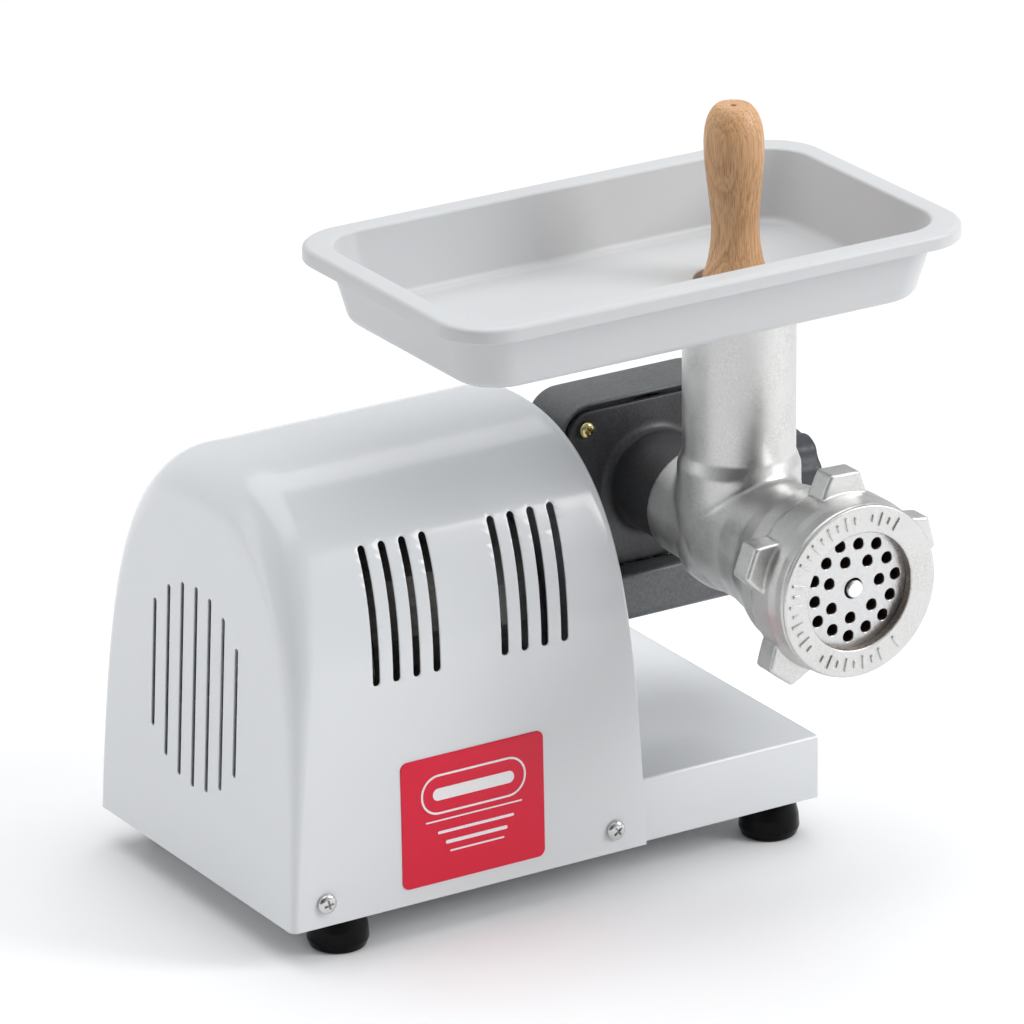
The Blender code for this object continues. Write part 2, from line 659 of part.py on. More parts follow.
def fan_blade(index):
    """A pitched blade from the hub outwards."""
    turn = Matrix.Rotation(2 * math.pi * index / 7, 4, "X")
    pitch = Matrix.Rotation(math.radians(32), 4, "Z")
    bm = bmesh.new()
    bmesh.ops.create_cube(bm, size=1.0, matrix=Matrix.Diagonal((1.6 * MM, 14.0 * MM, 38.0 * MM, 1.0)))
    mesh = mesh_from(bm, f"blade_{index}")
    lift = Matrix.Translation((0.0, 0.0, 27.0 * MM))
    return link(f"blade_{index}", mesh, (35.5, MOTOR_Y, MOTOR_Z), turn @ lift @ pitch, None)


def worm_radius(angle, position):
    """Right-handed single-start thread, a thread's middle over the wheel's centre line."""
    if abs(position - HEAD_X) > WORM_LENGTH / 2 - 2.0:
        return WORM_ROOT_RADIUS
    phase = (position - HEAD_X) / LEAD - angle / (2 * math.pi)
    return thread_profile(phase, LEAD, WORM_ROOT_RADIUS, WORM_TIP_RADIUS, 2.0, 2.0)


# --- Gearbox ----------------------------------------------------------------------------------

def make_gear_housing():
    """One casting: the wheel case above, the worm tunnel below."""
    low, high = (HOUSING_LEFT, WORM_BLOCK_Z[0] + 20), (HOUSING_RIGHT, HOUSING_TOP)
    outline = rounded_outline(low, high, (1, 1, HOUSING_CORNER, HOUSING_CORNER), 4)
    case = slab("gear_housing", outline, HOUSING_FRONT, HOUSING_BACK, "Y", "black_casting")
    tunnel_low = (WORM_BLOCK_Y[0], WORM_BLOCK_Z[0])
    tunnel_high = (WORM_BLOCK_Y[1], WORM_BLOCK_Z[1])
    tunnel_outline = rounded_outline(tunnel_low, tunnel_high, (6, 10, 6, 3), 3)
    tunnel = slab("worm_block", tunnel_outline, HOUSING_LEFT, HOUSING_RIGHT, "X")
    back_profile = [(0.0, 110.0), (19.0, 110.0), (18.0, 125.0), (16.5, 126.5), (0.0, 126.5)]
    back_boss = turned("housing_back_boss", back_profile, "Y", (HEAD_X, HEAD_Z))
    join(case, tunnel, back_boss)
    wheel_room = rod("wheel_room", 44.0, HOUSING_FRONT - 3, 114.0, "Y", (HEAD_X, HEAD_Z), sides=32)
    bush_seat = rod("rear_bush_seat", 13.0 + GAP, 110.0, 123.0, "Y", (HEAD_X, HEAD_Z))
    at = (MOTOR_Y, MOTOR_Z)
    worm_room = rod("worm_room", 18.6, HOUSING_LEFT - 5, 304.0, "X", at, sides=20)
    end_seat = rod("worm_end_seat", 11.3, 300.0, 315.0, "X", at)
    cut(case, wheel_room, bush_seat, worm_room, end_seat, *gear_screw_holes(2.6, (HOUSING_FRONT - 3, 103.0)))
    bearing("worm_end_bearing", (304.5, 311.5), at)


def gear_screw_places():
    """The four screws of the gear cover, named by where they sit."""
    across, up = GEAR_SCREW_OFFSET
    places = {}
    for height, z in (("top", HEAD_Z + up), ("bottom", HEAD_Z - up + 4)):
        for side, x in (("left", HEAD_X - across), ("right", HEAD_X + across)):
            places[f"{height}_{side}"] = (x, z)
    return places


def gear_screw_holes(radius, reach):
    """Tools for the four screw holes."""
    return [rod(f"gear_hole_{reach[0]:.0f}_{name}", radius, reach[0], reach[1], "Y", spot, sides=8)
            for name, spot in gear_screw_places().items()]


def make_gear_cover():
    """Front plate with the round boss that takes the head's shank."""
    low, high = (HOUSING_LEFT + 1.5, GEAR_COVER_BOTTOM), (HOUSING_RIGHT - 1.5, HOUSING_TOP - 1.5)
    outline = rounded_outline(low, high, (3, 3, HOUSING_CORNER - 1.5, HOUSING_CORNER - 1.5), 4)
    plate = slab("gear_cover", outline, GEAR_COVER_FACE, HOUSING_FRONT - GAP, "Y", "black_casting")
    boss_profile = [(0.0, BOSS_FRONT), (BOSS_RADIUS - 1, BOSS_FRONT), (BOSS_RADIUS, BOSS_FRONT + 1),
                    (BOSS_RADIUS, 75.0), (BOSS_RADIUS + 3, 82.0), (0.0, 83.0)]
    boss = turned("cover_boss", boss_profile, "Y", (HEAD_X, HEAD_Z))
    lug = rod("knob_lug", 9.0, HEAD_X + 23.0, HEAD_X + 38.0, "X", (KNOB_Y, HEAD_Z))
    join(plate, boss, lug)
    bore_profile = [(0.0, BOSS_FRONT - 3), (SHANK_RADIUS + GAP, BOSS_FRONT - 3), (SHANK_RADIUS + GAP, 62.0),
                    (16.0 + GAP, 62.3), (16.0 + GAP, 88.0), (0.0, 88.0)]
    bore = turned("cover_bore", bore_profile, "Y", (HEAD_X, HEAD_Z), sides=26)
    screw_way = rod("knob_screw_way", 4.0 + GAP, HEAD_X + 15.0, HEAD_X + 42.0, "X", (KNOB_Y, HEAD_Z),
                    sides=20)
    cut(plate, screw_way, bore, *gear_screw_holes(2.9, (70.0, 88.0)))
    for name, (x, z) in gear_screw_places().items():
        at = (x, GEAR_COVER_FACE - GAP, z)
        pan_head_screw(f"gear_screw_{name}", at, -1, (4.3, 2.6), (2.2, 16), "brass_screw")


def make_drive():
    """Wheel, output shaft and its bushes."""
    at = (HEAD_X, HEAD_Z)
    wheel = make_worm_wheel()
    cut(wheel, rod("wheel_bore", 10.0 + GAP, 85.0, 112.0, "Y", at))
    shaft = [(0.0, 50.0), (12.2, 50.0), (13.0, 50.8), (13.0, 90.0), (10.0, 90.0), (10.0, 108.0), (8.0, 108.0),
             (8.0, 122.0), (0.0, 122.0)]
    output = turned("output_shaft", shaft, "Y", at, "steel", 18)
    half = SQUARE_TANG / 2 + GAP
    cut(output, box("drive_socket", (HEAD_X - half, 45.0, HEAD_Z - half),
                    (HEAD_X + half, 69.0, HEAD_Z + half)))
    rear = [(8.0 + 0.25, 114.4), (13.0, 114.4), (13.0, 122.6), (8.0 + 0.25, 122.6)]
    turned("output_bush_rear", rear, "Y", at, "bronze", 18)
    front = [(13.0 + 0.3, 64.0), (16.0, 64.0), (16.0, 82.0), (13.0 + 0.3, 82.0)]
    turned("output_bush_front", front, "Y", at, "bronze", 18)


def make_worm_wheel():
    """A slanted-tooth wheel, a tooth space facing the worm."""
    tooth = 2 * math.pi / WHEEL_TEETH
    twist = LEAD / (2 * math.pi * WORM_PITCH_RADIUS) / WHEEL_PITCH_RADIUS
    root, tip = WHEEL_ROOT_RADIUS, WHEEL_TIP_RADIUS
    shape = ((-0.33, root), (-0.10, tip), (0.10, tip), (0.33, root))
    bm = bmesh.new()
    rings = []
    for y in (-WHEEL_WIDTH / 2, WHEEL_WIDTH / 2):
        ring = []
        for index in range(WHEEL_TEETH):
            for share, radius in shape:
                angle = (index + 0.5 + share) * tooth + twist * y
                ring.append(bm.verts.new(axis_offset("Y", angle, radius * MM, y * MM)))
        rings.append(ring)
    lower, upper = rings
    for index in range(len(lower)):
        after = (index + 1) % len(lower)
        bm.faces.new((lower[index], lower[after], upper[after], upper[index]))
    bm.faces.new(lower)
    bm.faces.new(upper)
    centre = (HEAD_X, MOTOR_Y, HEAD_Z)
    return link("worm_wheel", mesh_from(bm, "worm_wheel"), centre, Matrix.Identity(4), "bronze")


# --- Grinding head ----------------------------------------------------------------------------

def make_head_body():
    """Feed tube, elbow and barrel in one casting."""
    at = (HEAD_X, HEAD_Z)
    outer = [(0.0, 60.0), (SHANK_RADIUS, 60.0), (SHANK_RADIUS, BOSS_FRONT - GAP), (28.0, BOSS_FRONT - GAP),
             (29.0, 40.0), (30.0, 10.0), (33.0, -5.0), (33.5, -30.0), (36.0, -48.0), (40.5, -62.0),
             (43.0, -70.0), (43.5, -78.5), (THREAD_RADIUS, -78.6), (THREAD_RADIUS, HEAD_FRONT),
             (0.0, HEAD_FRONT)]
    head = turned("head_body", outer, "Y", at, "cast_aluminium", 26)
    low = HEAD_Z - 33.0
    tube = [(0.0, THROAT_TOP), (THROAT_RADIUS, THROAT_TOP), (THROAT_RADIUS, SHOULDER_Z + 2),
            (32.0, SHOULDER_Z - 3), (32.0, HEAD_Z - 8), (30.0, low + 14), (24.0, low + 6),
            (14.0, low + 1.5), (0.0, low)]
    join(head, turned("feed_tube", tube, "Z", (HEAD_X, THROAT_Y), sides=24))
    bore = [(0.0, 65.0), (13.6, 65.0), (13.6, 28.0), (BARREL_BORE, 26.0), (BARREL_BORE, -87.0),
            (PLATE_RADIUS + GAP, -87.0), (PLATE_RADIUS + GAP, HEAD_FRONT - 5), (0.0, HEAD_FRONT - 5)]
    barrel = turned("barrel_bore", bore, "Y", at, sides=26)
    feed = rod("feed_bore", THROAT_BORE, HEAD_Z, THROAT_TOP + 5, "Z", (HEAD_X, THROAT_Y), sides=22)
    key_hole = rod("key_hole", 2.0 + GAP, HEAD_Z - 39.0, HEAD_Z - 30.0, "Z", (HEAD_X, -99.0), sides=10)
    cut(head, barrel, feed, key_hole)
    rod("plate_key", 2.0, HEAD_Z - 38.6, HEAD_Z - 33.2, "Z", (HEAD_X, -99.0), "steel", 10)


def auger_radius(angle, position):
    """Neck, tapering core with one flight, knife square's shoulder and front stud."""
    if position > 27.0:
        return 12.3
    if position > 24.0:
        return 14.0
    core = 11.0 + 3.0 * (24.0 - position) / 112.0
    fade = min(1.0, (24.0 - position) / 8.0, (position + 88.0) / 3.0)
    phase = (position + 2.0) / AUGER_PITCH - angle / (2 * math.pi)
    tip = core + (AUGER_RADIUS - core) * max(fade, 0.0)
    return thread_profile(phase, AUGER_PITCH, core, tip, 4.0, 3.2)


def make_auger():
    """Feed screw with a square tang behind and a stud in front."""
    at = (HEAD_X, HEAD_Z)
    auger = helix_solid("auger", "Y", at, -88.0, 49.4, 14, 34, auger_radius, "cast_aluminium")
    half = SQUARE_TANG / 2
    tang = box("auger_tang", (HEAD_X - half, 48.0, HEAD_Z - half), (HEAD_X + half, 67.0, HEAD_Z + half))
    seat = box("knife_square", (HEAD_X - half, -97.0, HEAD_Z - half), (HEAD_X + half, -87.0, HEAD_Z + half))
    profile = [(0.0, STUD_FRONT), (STUD_RADIUS - 0.8, STUD_FRONT), (STUD_RADIUS, STUD_FRONT + 0.8),
               (STUD_RADIUS, -96.0), (0.0, -96.0)]
    stud = turned("auger_stud", profile, "Y", at, sides=24)
    join(auger, tang, seat, stud)


def make_knife():
    """Four-winged knife on the auger's square."""
    outline = []
    for wing in range(4):
        start = 90 * wing + 12
        for angle, radius in ((-4, 13.0), (-9, 31.0), (4, KNIFE_RADIUS), (12, 31.5), (30, 12.0)):
            turn = math.radians(start + angle)
            outline.append((HEAD_X + radius * math.cos(turn), HEAD_Z + radius * math.sin(turn)))
    knife = slab("knife", outline, KNIFE_Y[0], KNIFE_Y[1], "Y", "steel")
    half = SQUARE_TANG / 2 + GAP
    cut(knife, box("knife_hole", (HEAD_X - half, -100.0, HEAD_Z - half),
                   (HEAD_X + half, -85.0, HEAD_Z + half)))


def make_perforated_plate():
    """Hole plate with three rings of holes, a centre hole and a key notch."""
    at = (HEAD_X, HEAD_Z)
    span = (PLATE_FACE, PLATE_FACE + PLATE_THICKNESS)
    plate = rod("perforated_plate", PLATE_RADIUS, span[0], span[1], "Y", at, "steel", 32)
    tools = [rod("plate_centre_hole", 5.4, -110, -90, "Y", at, sides=24)]
    for ring, offset in PLATE_HOLE_RINGS:
        for index, step in enumerate(steps_of_turn(HOLES_IN_RING)):
            angle = math.radians(offset) + step
            spot = (HEAD_X + ring * math.cos(angle), HEAD_Z + ring * math.sin(angle))
            name = f"plate_hole_{ring:.0f}_{index}"
            tools.append(rod(name, PLATE_HOLE_RADIUS, -110, -90, "Y", spot, sides=8))
    low = (HEAD_X - 2.8, -101.6, HEAD_Z - 40)
    tools.append(box("plate_notch", low, (HEAD_X + 2.8, -90, HEAD_Z - 31.5)))
    cut(plate, *tools)


def make_ring_nut():
    """Clamping ring with lugs set back from its face."""
    at = (HEAD_X, HEAD_Z)
    bore = THREAD_RADIUS + GAP
    profile = [(RING_OPENING, RING_FACE), (RING_RADIUS - 1.2, RING_FACE), (RING_RADIUS, RING_FACE + 1.2),
               (RING_RADIUS, RING_FACE + 9.0), (RING_RADIUS + 0.8, -98.0), (RING_RADIUS + 0.8, -86.0),
               (RING_RADIUS - 0.5, RING_BACK), (bore, RING_BACK), (bore, PLATE_FACE - GAP),
               (RING_OPENING + 0.6, PLATE_FACE - GAP)]
    ring = turned("ring_nut", profile, "Y", at, "cast_aluminium", 26)
    lugs = [ring_lug(index, math.radians(angle)) for index, angle in enumerate(LUG_ANGLES)]
    join(ring, *lugs)
    cut(ring, rod("ring_thread_bore", bore, PLATE_FACE - GAP, RING_BACK + 4, "Y", at, sides=26))


def ring_lug(index, angle):
    """A trapezoid grip lug."""
    outline = []
    for along, across in ((43.5, -14.0), (50.0, -11.5), (LUG_TIP_RADIUS, -8.0), (LUG_TIP_RADIUS, 8.0),
                          (50.0, 11.5), (43.5, 14.0)):
        outline.append((HEAD_X + along * math.cos(angle) - across * math.sin(angle),
                        HEAD_Z + along * math.sin(angle) + across * math.cos(angle)))
    return slab(f"lug_{index}", outline, *LUG_Y, "Y")


def make_lock_knob():
    """Lobed knob on the screw that clamps the head's shank."""
    outline = []
    for angle in steps_of_turn(24):
        radius = KNOB_RADIUS - 1.6 * (0.5 - 0.5 * math.cos(6 * angle)) ** 2
        outline.append((KNOB_Y + radius * math.cos(angle), HEAD_Z + radius * math.sin(angle)))
    knob = slab("lock_knob", outline, KNOB[0] + 6, KNOB[1], "X", "black_plastic")
    neck = turned("knob_neck", [(0.0, KNOB[0]), (10.0, KNOB[0]), (12.0, KNOB[0] + 7.0), (0.0, KNOB[0] + 7.0)],
                  "X", (KNOB_Y, HEAD_Z), sides=24)
    socket = rod("knob_socket", 4.0 + GAP, KNOB[0] - 3, KNOB[0] + 16, "X", (KNOB_Y, HEAD_Z), sides=20)
    join(knob, neck)
    cut(knob, socket)
    stem = [(0.0, HEAD_X + 20.6), (3.0, HEAD_X + 20.6), (4.0, HEAD_X + 22.0), (4.0, KNOB[0] + 15.0),
            (0.0, KNOB[0] + 15.0)]
    turned("lock_screw", stem, "X", (KNOB_Y, HEAD_Z), "steel", 20)


# --- Tray and pusher --------------------------------------------------------------------------

def make_tray():
    """Deep tray lofted through rounded rectangles, with a spigot that sits in the feed tube."""
    floor, rim = TRAY_Z
    rings = [(25.0, floor + 3.0), (22.0, floor + 4.2), (20.0, floor + 7.5), (13.4, rim - 3.0),
             (12.6, rim - 1.0), (11.0, rim), (3.0, rim), (0.9, rim - 0.8), (0.0, rim - 2.8),
             (0.0, rim - 8.0), (2.2, rim - 8.0), (2.6, rim - 3.4), (10.2, rim - 3.4),
             (17.2, floor + 7.5), (19.4, floor + 2.2), (24.0, floor)]
    bm = bmesh.new()
    loops = []
    for inset, z in rings:
        radius = TRAY_CORNER - 0.4 * inset
        low = (TRAY_X[0] + inset, TRAY_Y[0] + inset)
        high = (TRAY_X[1] - inset, TRAY_Y[1] - inset)
        outline = rounded_outline(low, high, [radius] * 4, 3)
        loops.append([bm.verts.new(place(x, y, z)) for x, y in outline])
    count = len(loops[0])
    for inner, outer in zip(loops, loops[1:]):
        for index in range(count):
            after = (index + 1) % count
            bm.faces.new((inner[index], inner[after], outer[after], outer[index]))
    bm.faces.new(loops[0])
    bm.faces.new(loops[-1])
    mesh = mesh_from(bm, "tray")
    tray = bpy.data.objects.new("tray", mesh)
    mesh.materials.append(material("white_plastic"))
    PARTS.objects.link(tray)
    at = (HEAD_X, THROAT_Y)
    spigot = rod("tray_spigot", THROAT_BORE - GAP, THROAT_TOP - 16, floor + 2, "Z", at, sides=28)
    hole = rod("tray_hole", THROAT_BORE - 1.8, THROAT_TOP - 20, floor + 10, "Z", at, sides=28)
    join(tray, spigot)
    cut(tray, hole)


def make_pusher():
    """Turned wooden pusher: a plunger below, a waisted grip above."""
    top = PUSHER_TOP
    profile = [(0.0, PUSHER_BOTTOM), (20.0, PUSHER_BOTTOM), (21.0, PUSHER_BOTTOM + 1.5), (21.0, 276.0),
               (18.8, 293.0), (14.0, 308.0), (12.0, 325.0), (13.6, 345.0), (15.4, 368.0), (13.2, 385.0),
               (6.5, top), (1.3, top), (1.3, top - 5.0), (0.0, top - 5.0)]
    turned("pusher", profile, "Z", (PUSHER_X, THROAT_Y), "wood", 18)


# --- Electrics --------------------------------------------------------------------------------

def make_cable_gland():
    """Gland in the back wall of the base pan with its lock nut inside."""
    at = (GLAND_X, GLAND_Z)
    wall = BASE_BACK
    gland = [(3.6, wall - 12.0), (6.0, wall - 12.0), (6.0, wall + GAP), (10.0, wall + GAP),
             (10.0, wall + 5.0), (8.6, wall + 5.6), (8.6, GLAND_END - 3.0), (6.4, GLAND_END),
             (3.6, GLAND_END)]
    turned("cable_gland", gland, "Y", at, "black_plastic", 14)
    inner = wall - SHEET - GAP
    nut = rod("gland_locknut", 9.5, inner - 4.5, inner, "Y", at, "black_plastic", 6)
    cut(nut, rod("locknut_bore", 6.0 + GAP, inner - 10, inner + 5, "Y", at))


def make_power_switch():
    """Rocker switch in the back of the cover."""
    face = COVER_DEPTH - cover_front_y(SWITCH_Z) + 1.2
    lip = switch_box("power_switch_housing", (11.5, 15.5), (face, face + 2.2), "black_plastic", bevel=0.8)
    block = switch_box("switch_block", (9.6, 13.6), (face - 22.0, face + 1.0))
    pocket = switch_box("switch_pocket", (7.0, 11.0), (face - 9.0, face + 4.0))
    join(lip, block)
    cut(lip, pocket)
    make_rocker(face)


def switch_box(name, half, span, finish=None, bevel=0.0):
    """A box about the switch's centre: half its width and height, and its span in Y."""
    low = (SWITCH_X - half[0], span[0], SWITCH_Z - half[1])
    high = (SWITCH_X + half[0], span[1], SWITCH_Z + half[1])
    return box(name, low, high, finish, bevel)


def make_rocker(face):
    """The rocker at rest in its off position, its pivot halfway down the pocket."""
    tilt = math.radians(-9.0)
    shape = ((-10.0, 3.4), (0.0, 1.8), (10.0, 3.4), (10.0, 0.2), (5.0, -3.6), (-5.0, -3.6), (-10.0, 0.2))
    pivot = (face - 1.6, SWITCH_Z)
    outline = []
    for up, out in shape:
        y = pivot[0] + out * math.cos(tilt) - up * math.sin(tilt)
        z = pivot[1] + out * math.sin(tilt) + up * math.cos(tilt)
        outline.append((y, z))
    slab("power_switch_rocker", outline, SWITCH_X - 6.5, SWITCH_X + 6.5, "X", "black_plastic")


def build():
    """Make every piece."""
    make_motor_cover()
    make_base_pan()
    make_feet()
    make_cover_screws()
    make_label_plate()
    make_end_panel()
    make_motor()
    make_rotor()
    make_gear_housing()
    make_gear_cover()
    make_drive()
    make_head_body()
    make_auger()
    make_knife()
    make_perforated_plate()
    make_ring_nut()
    make_lock_knob()
    make_tray()
    make_pusher()
    make_cable_gland()
    make_power_switch()


build()
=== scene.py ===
"""Looks of the electric meat grinder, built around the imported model.

Lengths are millimetres in the design's own frame, whose origin is the motor cover's front left
bottom corner: X right, Y back, Z up. place() turns them into the frame's metres.
"""

import json
import math

import bmesh
import bpy
from mathutils import Matrix, Vector


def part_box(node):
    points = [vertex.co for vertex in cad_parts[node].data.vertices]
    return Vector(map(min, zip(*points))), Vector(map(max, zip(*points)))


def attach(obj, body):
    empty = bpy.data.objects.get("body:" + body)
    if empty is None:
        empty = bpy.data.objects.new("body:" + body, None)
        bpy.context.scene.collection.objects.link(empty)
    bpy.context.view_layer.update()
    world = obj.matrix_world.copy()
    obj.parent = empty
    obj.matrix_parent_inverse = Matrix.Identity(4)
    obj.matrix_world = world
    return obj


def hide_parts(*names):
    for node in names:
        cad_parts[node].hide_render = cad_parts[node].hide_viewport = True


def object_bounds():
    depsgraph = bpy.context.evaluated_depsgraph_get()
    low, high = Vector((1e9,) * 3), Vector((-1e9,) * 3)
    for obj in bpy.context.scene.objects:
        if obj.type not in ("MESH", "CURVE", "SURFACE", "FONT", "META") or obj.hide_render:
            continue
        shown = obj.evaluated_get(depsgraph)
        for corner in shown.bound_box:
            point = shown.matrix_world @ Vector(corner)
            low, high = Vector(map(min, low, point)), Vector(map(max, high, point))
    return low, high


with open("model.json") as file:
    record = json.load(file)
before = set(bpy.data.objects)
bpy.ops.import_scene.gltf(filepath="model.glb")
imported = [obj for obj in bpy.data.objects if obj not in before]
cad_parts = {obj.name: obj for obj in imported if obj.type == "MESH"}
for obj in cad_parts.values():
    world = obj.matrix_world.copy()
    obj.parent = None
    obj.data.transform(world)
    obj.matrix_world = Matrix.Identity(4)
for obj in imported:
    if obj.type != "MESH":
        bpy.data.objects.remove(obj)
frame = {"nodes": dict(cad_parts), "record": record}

CAD_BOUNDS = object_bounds()
MM = 0.001
FOOT_DROP = 20.0                # from the cover's bottom edge to the floor
ORIGIN = Vector((*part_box("motor_cover")[0].xy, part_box("foot_front_left")[0].z + FOOT_DROP * MM))


def place(x, y, z):
    """World position in metres of a design position in millimetres."""
    return ORIGIN + Vector((x, y, z)) * MM


def design_box(node):
    """Lowest and highest corners of a CAD node in design millimetres."""
    low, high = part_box(node)
    return (low - ORIGIN) / MM, (high - ORIGIN) / MM


# Places read from the frame.
COVER_HIGH = design_box("motor_cover")[1]
COVER_LENGTH = COVER_HIGH.x
COVER_DEPTH = COVER_HIGH.y
COVER_HEIGHT = 220.0
BASE_LOW, BASE_HIGH = design_box("base_pan")
BASE_LOW.y -= 1.3               # the pan's painted skin fills the clearance inside the cover
BASE_HIGH.y += 1.3
TRAY_LOW, TRAY_HIGH = design_box("tray")
RING_LOW = design_box("ring_nut")[0]
PLATE_LOW, PLATE_HIGH = design_box("perforated_plate")
PUSHER_LOW, PUSHER_HIGH = design_box("pusher")
HOUSING_LOW, HOUSING_HIGH = design_box("gear_housing")
GEAR_COVER_LOW = design_box("gear_cover")[0]
KNOB_LOW, KNOB_HIGH = design_box("lock_knob")
HEAD_X = (PLATE_LOW.x + PLATE_HIGH.x) / 2
HEAD_Z = (PLATE_LOW.z + PLATE_HIGH.z) / 2
THROAT_Y = (TRAY_LOW.y + TRAY_HIGH.y) / 2
HEAD = (HEAD_X, HEAD_Z)

# Cover shape.
WALL = 2.5
END_DRAFT = 0.047
SIDE_DRAFT = 0.015
ARCH_TOP_POWER = 4.4
ARCH_SIDE_POWER = 2.3
LEFT_END_RADIUS = (4.0, 28.0)
RIGHT_END_RADIUS = (0.2, 9.0)
GAP = 0.35

# Viewpoint.
CAMERA_AZIMUTH = 31.7
CAMERA_ELEVATION = 21.06
CAMERA_ROLL = -0.5
CAMERA_DISTANCE = 4000.0
CAMERA_AIM_RIGHT = 109.65       # from the cover's corner to the aim point, across the view
CAMERA_AIM_UP = 211.7
CAMERA_LENS = 281.25


# --- Mesh tools -------------------------------------------------------------------------------

def filleted(corners, closed=False, step=12.0):
    """A path through corners (u, v, radius), each rounded by its radius."""
    path = []
    last = len(corners) - 1
    for index, (u, v, radius) in enumerate(corners):
        corner = Vector((u, v))
        if radius <= 0 or (not closed and index in (0, last)):
            path.append((u, v))
            continue
        before = Vector(corners[index - 1][:2]) - corner
        after = Vector(corners[(index + 1) % len(corners)][:2]) - corner
        half = before.angle(after) / 2
        if math.pi / 2 - half < 0.01:
            path.append((u, v))
            continue
        reach = min(radius / math.tan(half), 0.49 * before.length, 0.49 * after.length)
        bisector = (before.normalized() + after.normalized()).normalized()
        centre = corner + bisector * reach / math.cos(half)
        first = corner + before.normalized() * reach - centre
        sweep = math.pi - 2 * half
        turn = 1.0 if before.cross(after) < 0 else -1.0
        count = max(2, math.ceil(math.degrees(sweep) / step))
        for piece_of_arc in range(count + 1):
            spot = centre + Matrix.Rotation(turn * sweep * piece_of_arc / count, 2) @ first
            path.append((spot.x, spot.y))
    return path


def smooth_path(points, per_span=6):
    """A Catmull-Rom curve through the points."""
    path = []
    ends = [points[0]] + list(points) + [points[-1]]
    for a, b, c, d in zip(ends, ends[1:], ends[2:], ends[3:]):
        for step in range(per_span):
            t = step / per_span
            path.append(tuple(0.5 * (2 * q + (r - p) * t + (2 * p - 5 * q + 4 * r - s) * t * t
                                     + (3 * q - p - 3 * r + s) * t ** 3) for p, q, r, s in zip(a, b, c, d)))
    path.append(tuple(points[-1]))
    return path


def axis_point(axis, u, v, along):
    """A design point from coordinates across an axis and along it."""
    return {"X": (along, u, v), "Y": (u, along, v), "Z": (u, v, along)}[axis]


def loft(bm, loops, close_loops=False, cap_ends=True):
    """Skin loops of design points, all with the same count."""
    rows = [[bm.verts.new(place(*point)) for point in loop] for loop in loops]
    pairs = list(zip(rows, rows[1:]))
    if close_loops:
        pairs.append((rows[-1], rows[0]))
    count = len(rows[0])
    for lower, upper in pairs:
        for index in range(count):
            after = (index + 1) % count
            bm.faces.new((lower[index], lower[after], upper[after], upper[index]))
    if cap_ends and not close_loops:
        bm.faces.new(rows[0][::-1])
        bm.faces.new(rows[-1])
    return rows


def lathe(bm, profile, axis, at, sides=64, closed=False):
    """Turn a profile of (radius, along) about an axis; a zero radius closes it."""
    loops = []
    for radius, along in profile:
        radius = max(radius, 0.002)
        loops.append([axis_point(axis, at[0] + radius * math.cos(angle), at[1] + radius * math.sin(angle),
                                 along) for angle in (2 * math.pi * step / sides for step in range(sides))])
    loft(bm, loops, close_loops=closed)


def inset_outline(outline, distance):
    """Move a closed outline inwards, or outwards for a negative distance."""
    area = sum(a[0] * b[1] - b[0] * a[1] for a, b in zip(outline, outline[1:] + outline[:1]))
    side = 1.0 if area > 0 else -1.0
    moved = []
    count = len(outline)
    for index in range(count):
        here = Vector(outline[index])
        before = (here - Vector(outline[index - 1])).normalized()
        after = (Vector(outline[(index + 1) % count]) - here).normalized()
        normal = Vector((-(before.y + after.y), before.x + after.x)).normalized() * side
        scale = 1.0 / max(0.5, math.sqrt(max(0.0, (1 + before.dot(after)) / 2)))
        moved.append(tuple(here + normal * distance * scale))
    return moved


def prism(bm, outline, start, end, axis, rims=(0.0, 0.0), steps=4):
    """Extrude an outline along an axis with rounded rims at its start and end."""
    levels = []
    for side, (position, radius) in enumerate(((start, rims[0]), (end, rims[1]))):
        inward = 1.0 if side == 0 else -1.0
        arc = []
        for step in range(steps + 1 if radius > 0 else 1):
            angle = math.pi / 2 * step / steps
            arc.append((radius * (1 - math.sin(angle)), position + inward * radius * (1 - math.cos(angle))))
        levels += arc if side == 0 else arc[::-1]
    loops = [[axis_point(axis, u, v, along) for u, v in inset_outline(outline, inset)]
             for inset, along in levels]
    loft(bm, loops)


def rectangle(low, high, radii, step=12.0):
    """A closed rectangle outline with one radius, or one for each corner from low left round to the right."""
    if isinstance(radii, (int, float)):
        radii = (radii,) * 4
    corners = [(low[0], low[1], radii[0]), (high[0], low[1], radii[1]),
               (high[0], high[1], radii[2]), (low[0], high[1], radii[3])]
    return filleted(corners, closed=True, step=step)


def circle(at, radius, sides=48):
    """A closed round outline."""
    return [(at[0] + radius * math.cos(2 * math.pi * step / sides),
             at[1] + radius * math.sin(2 * math.pi * step / sides)) for step in range(sides)]


def solid(name, *makers):
    """A mesh object from functions that each add to a bmesh."""
    bm = bmesh.new()
    for maker in makers:
        maker(bm)
    bmesh.ops.recalc_face_normals(bm, faces=bm.faces)
    mesh = bpy.data.meshes.new(name)
    bm.to_mesh(mesh)
    bm.free()
    made = bpy.data.objects.new(name, mesh)
    bpy.context.scene.collection.objects.link(made)
    return made


def turned(name, profile, axis, at, sides=64, closed=False):
    """A solid turned from a profile of (radius, along)."""
    return solid(name, lambda bm: lathe(bm, profile, axis, at, sides, closed))


def plug(name, radius, start, end, axis, at, sides=96):
    """A plain round solid, for cutting bores and seats."""
    return turned(name, [(0, start), (radius, start), (radius, end), (0, end)], axis, at, sides)


def extruded(name, outline, start, end, axis, rims=(0.0, 0.0), steps=4):
    """A solid drawn out from an outline."""
    return solid(name, lambda bm: prism(bm, outline, start, end, axis, rims, steps))


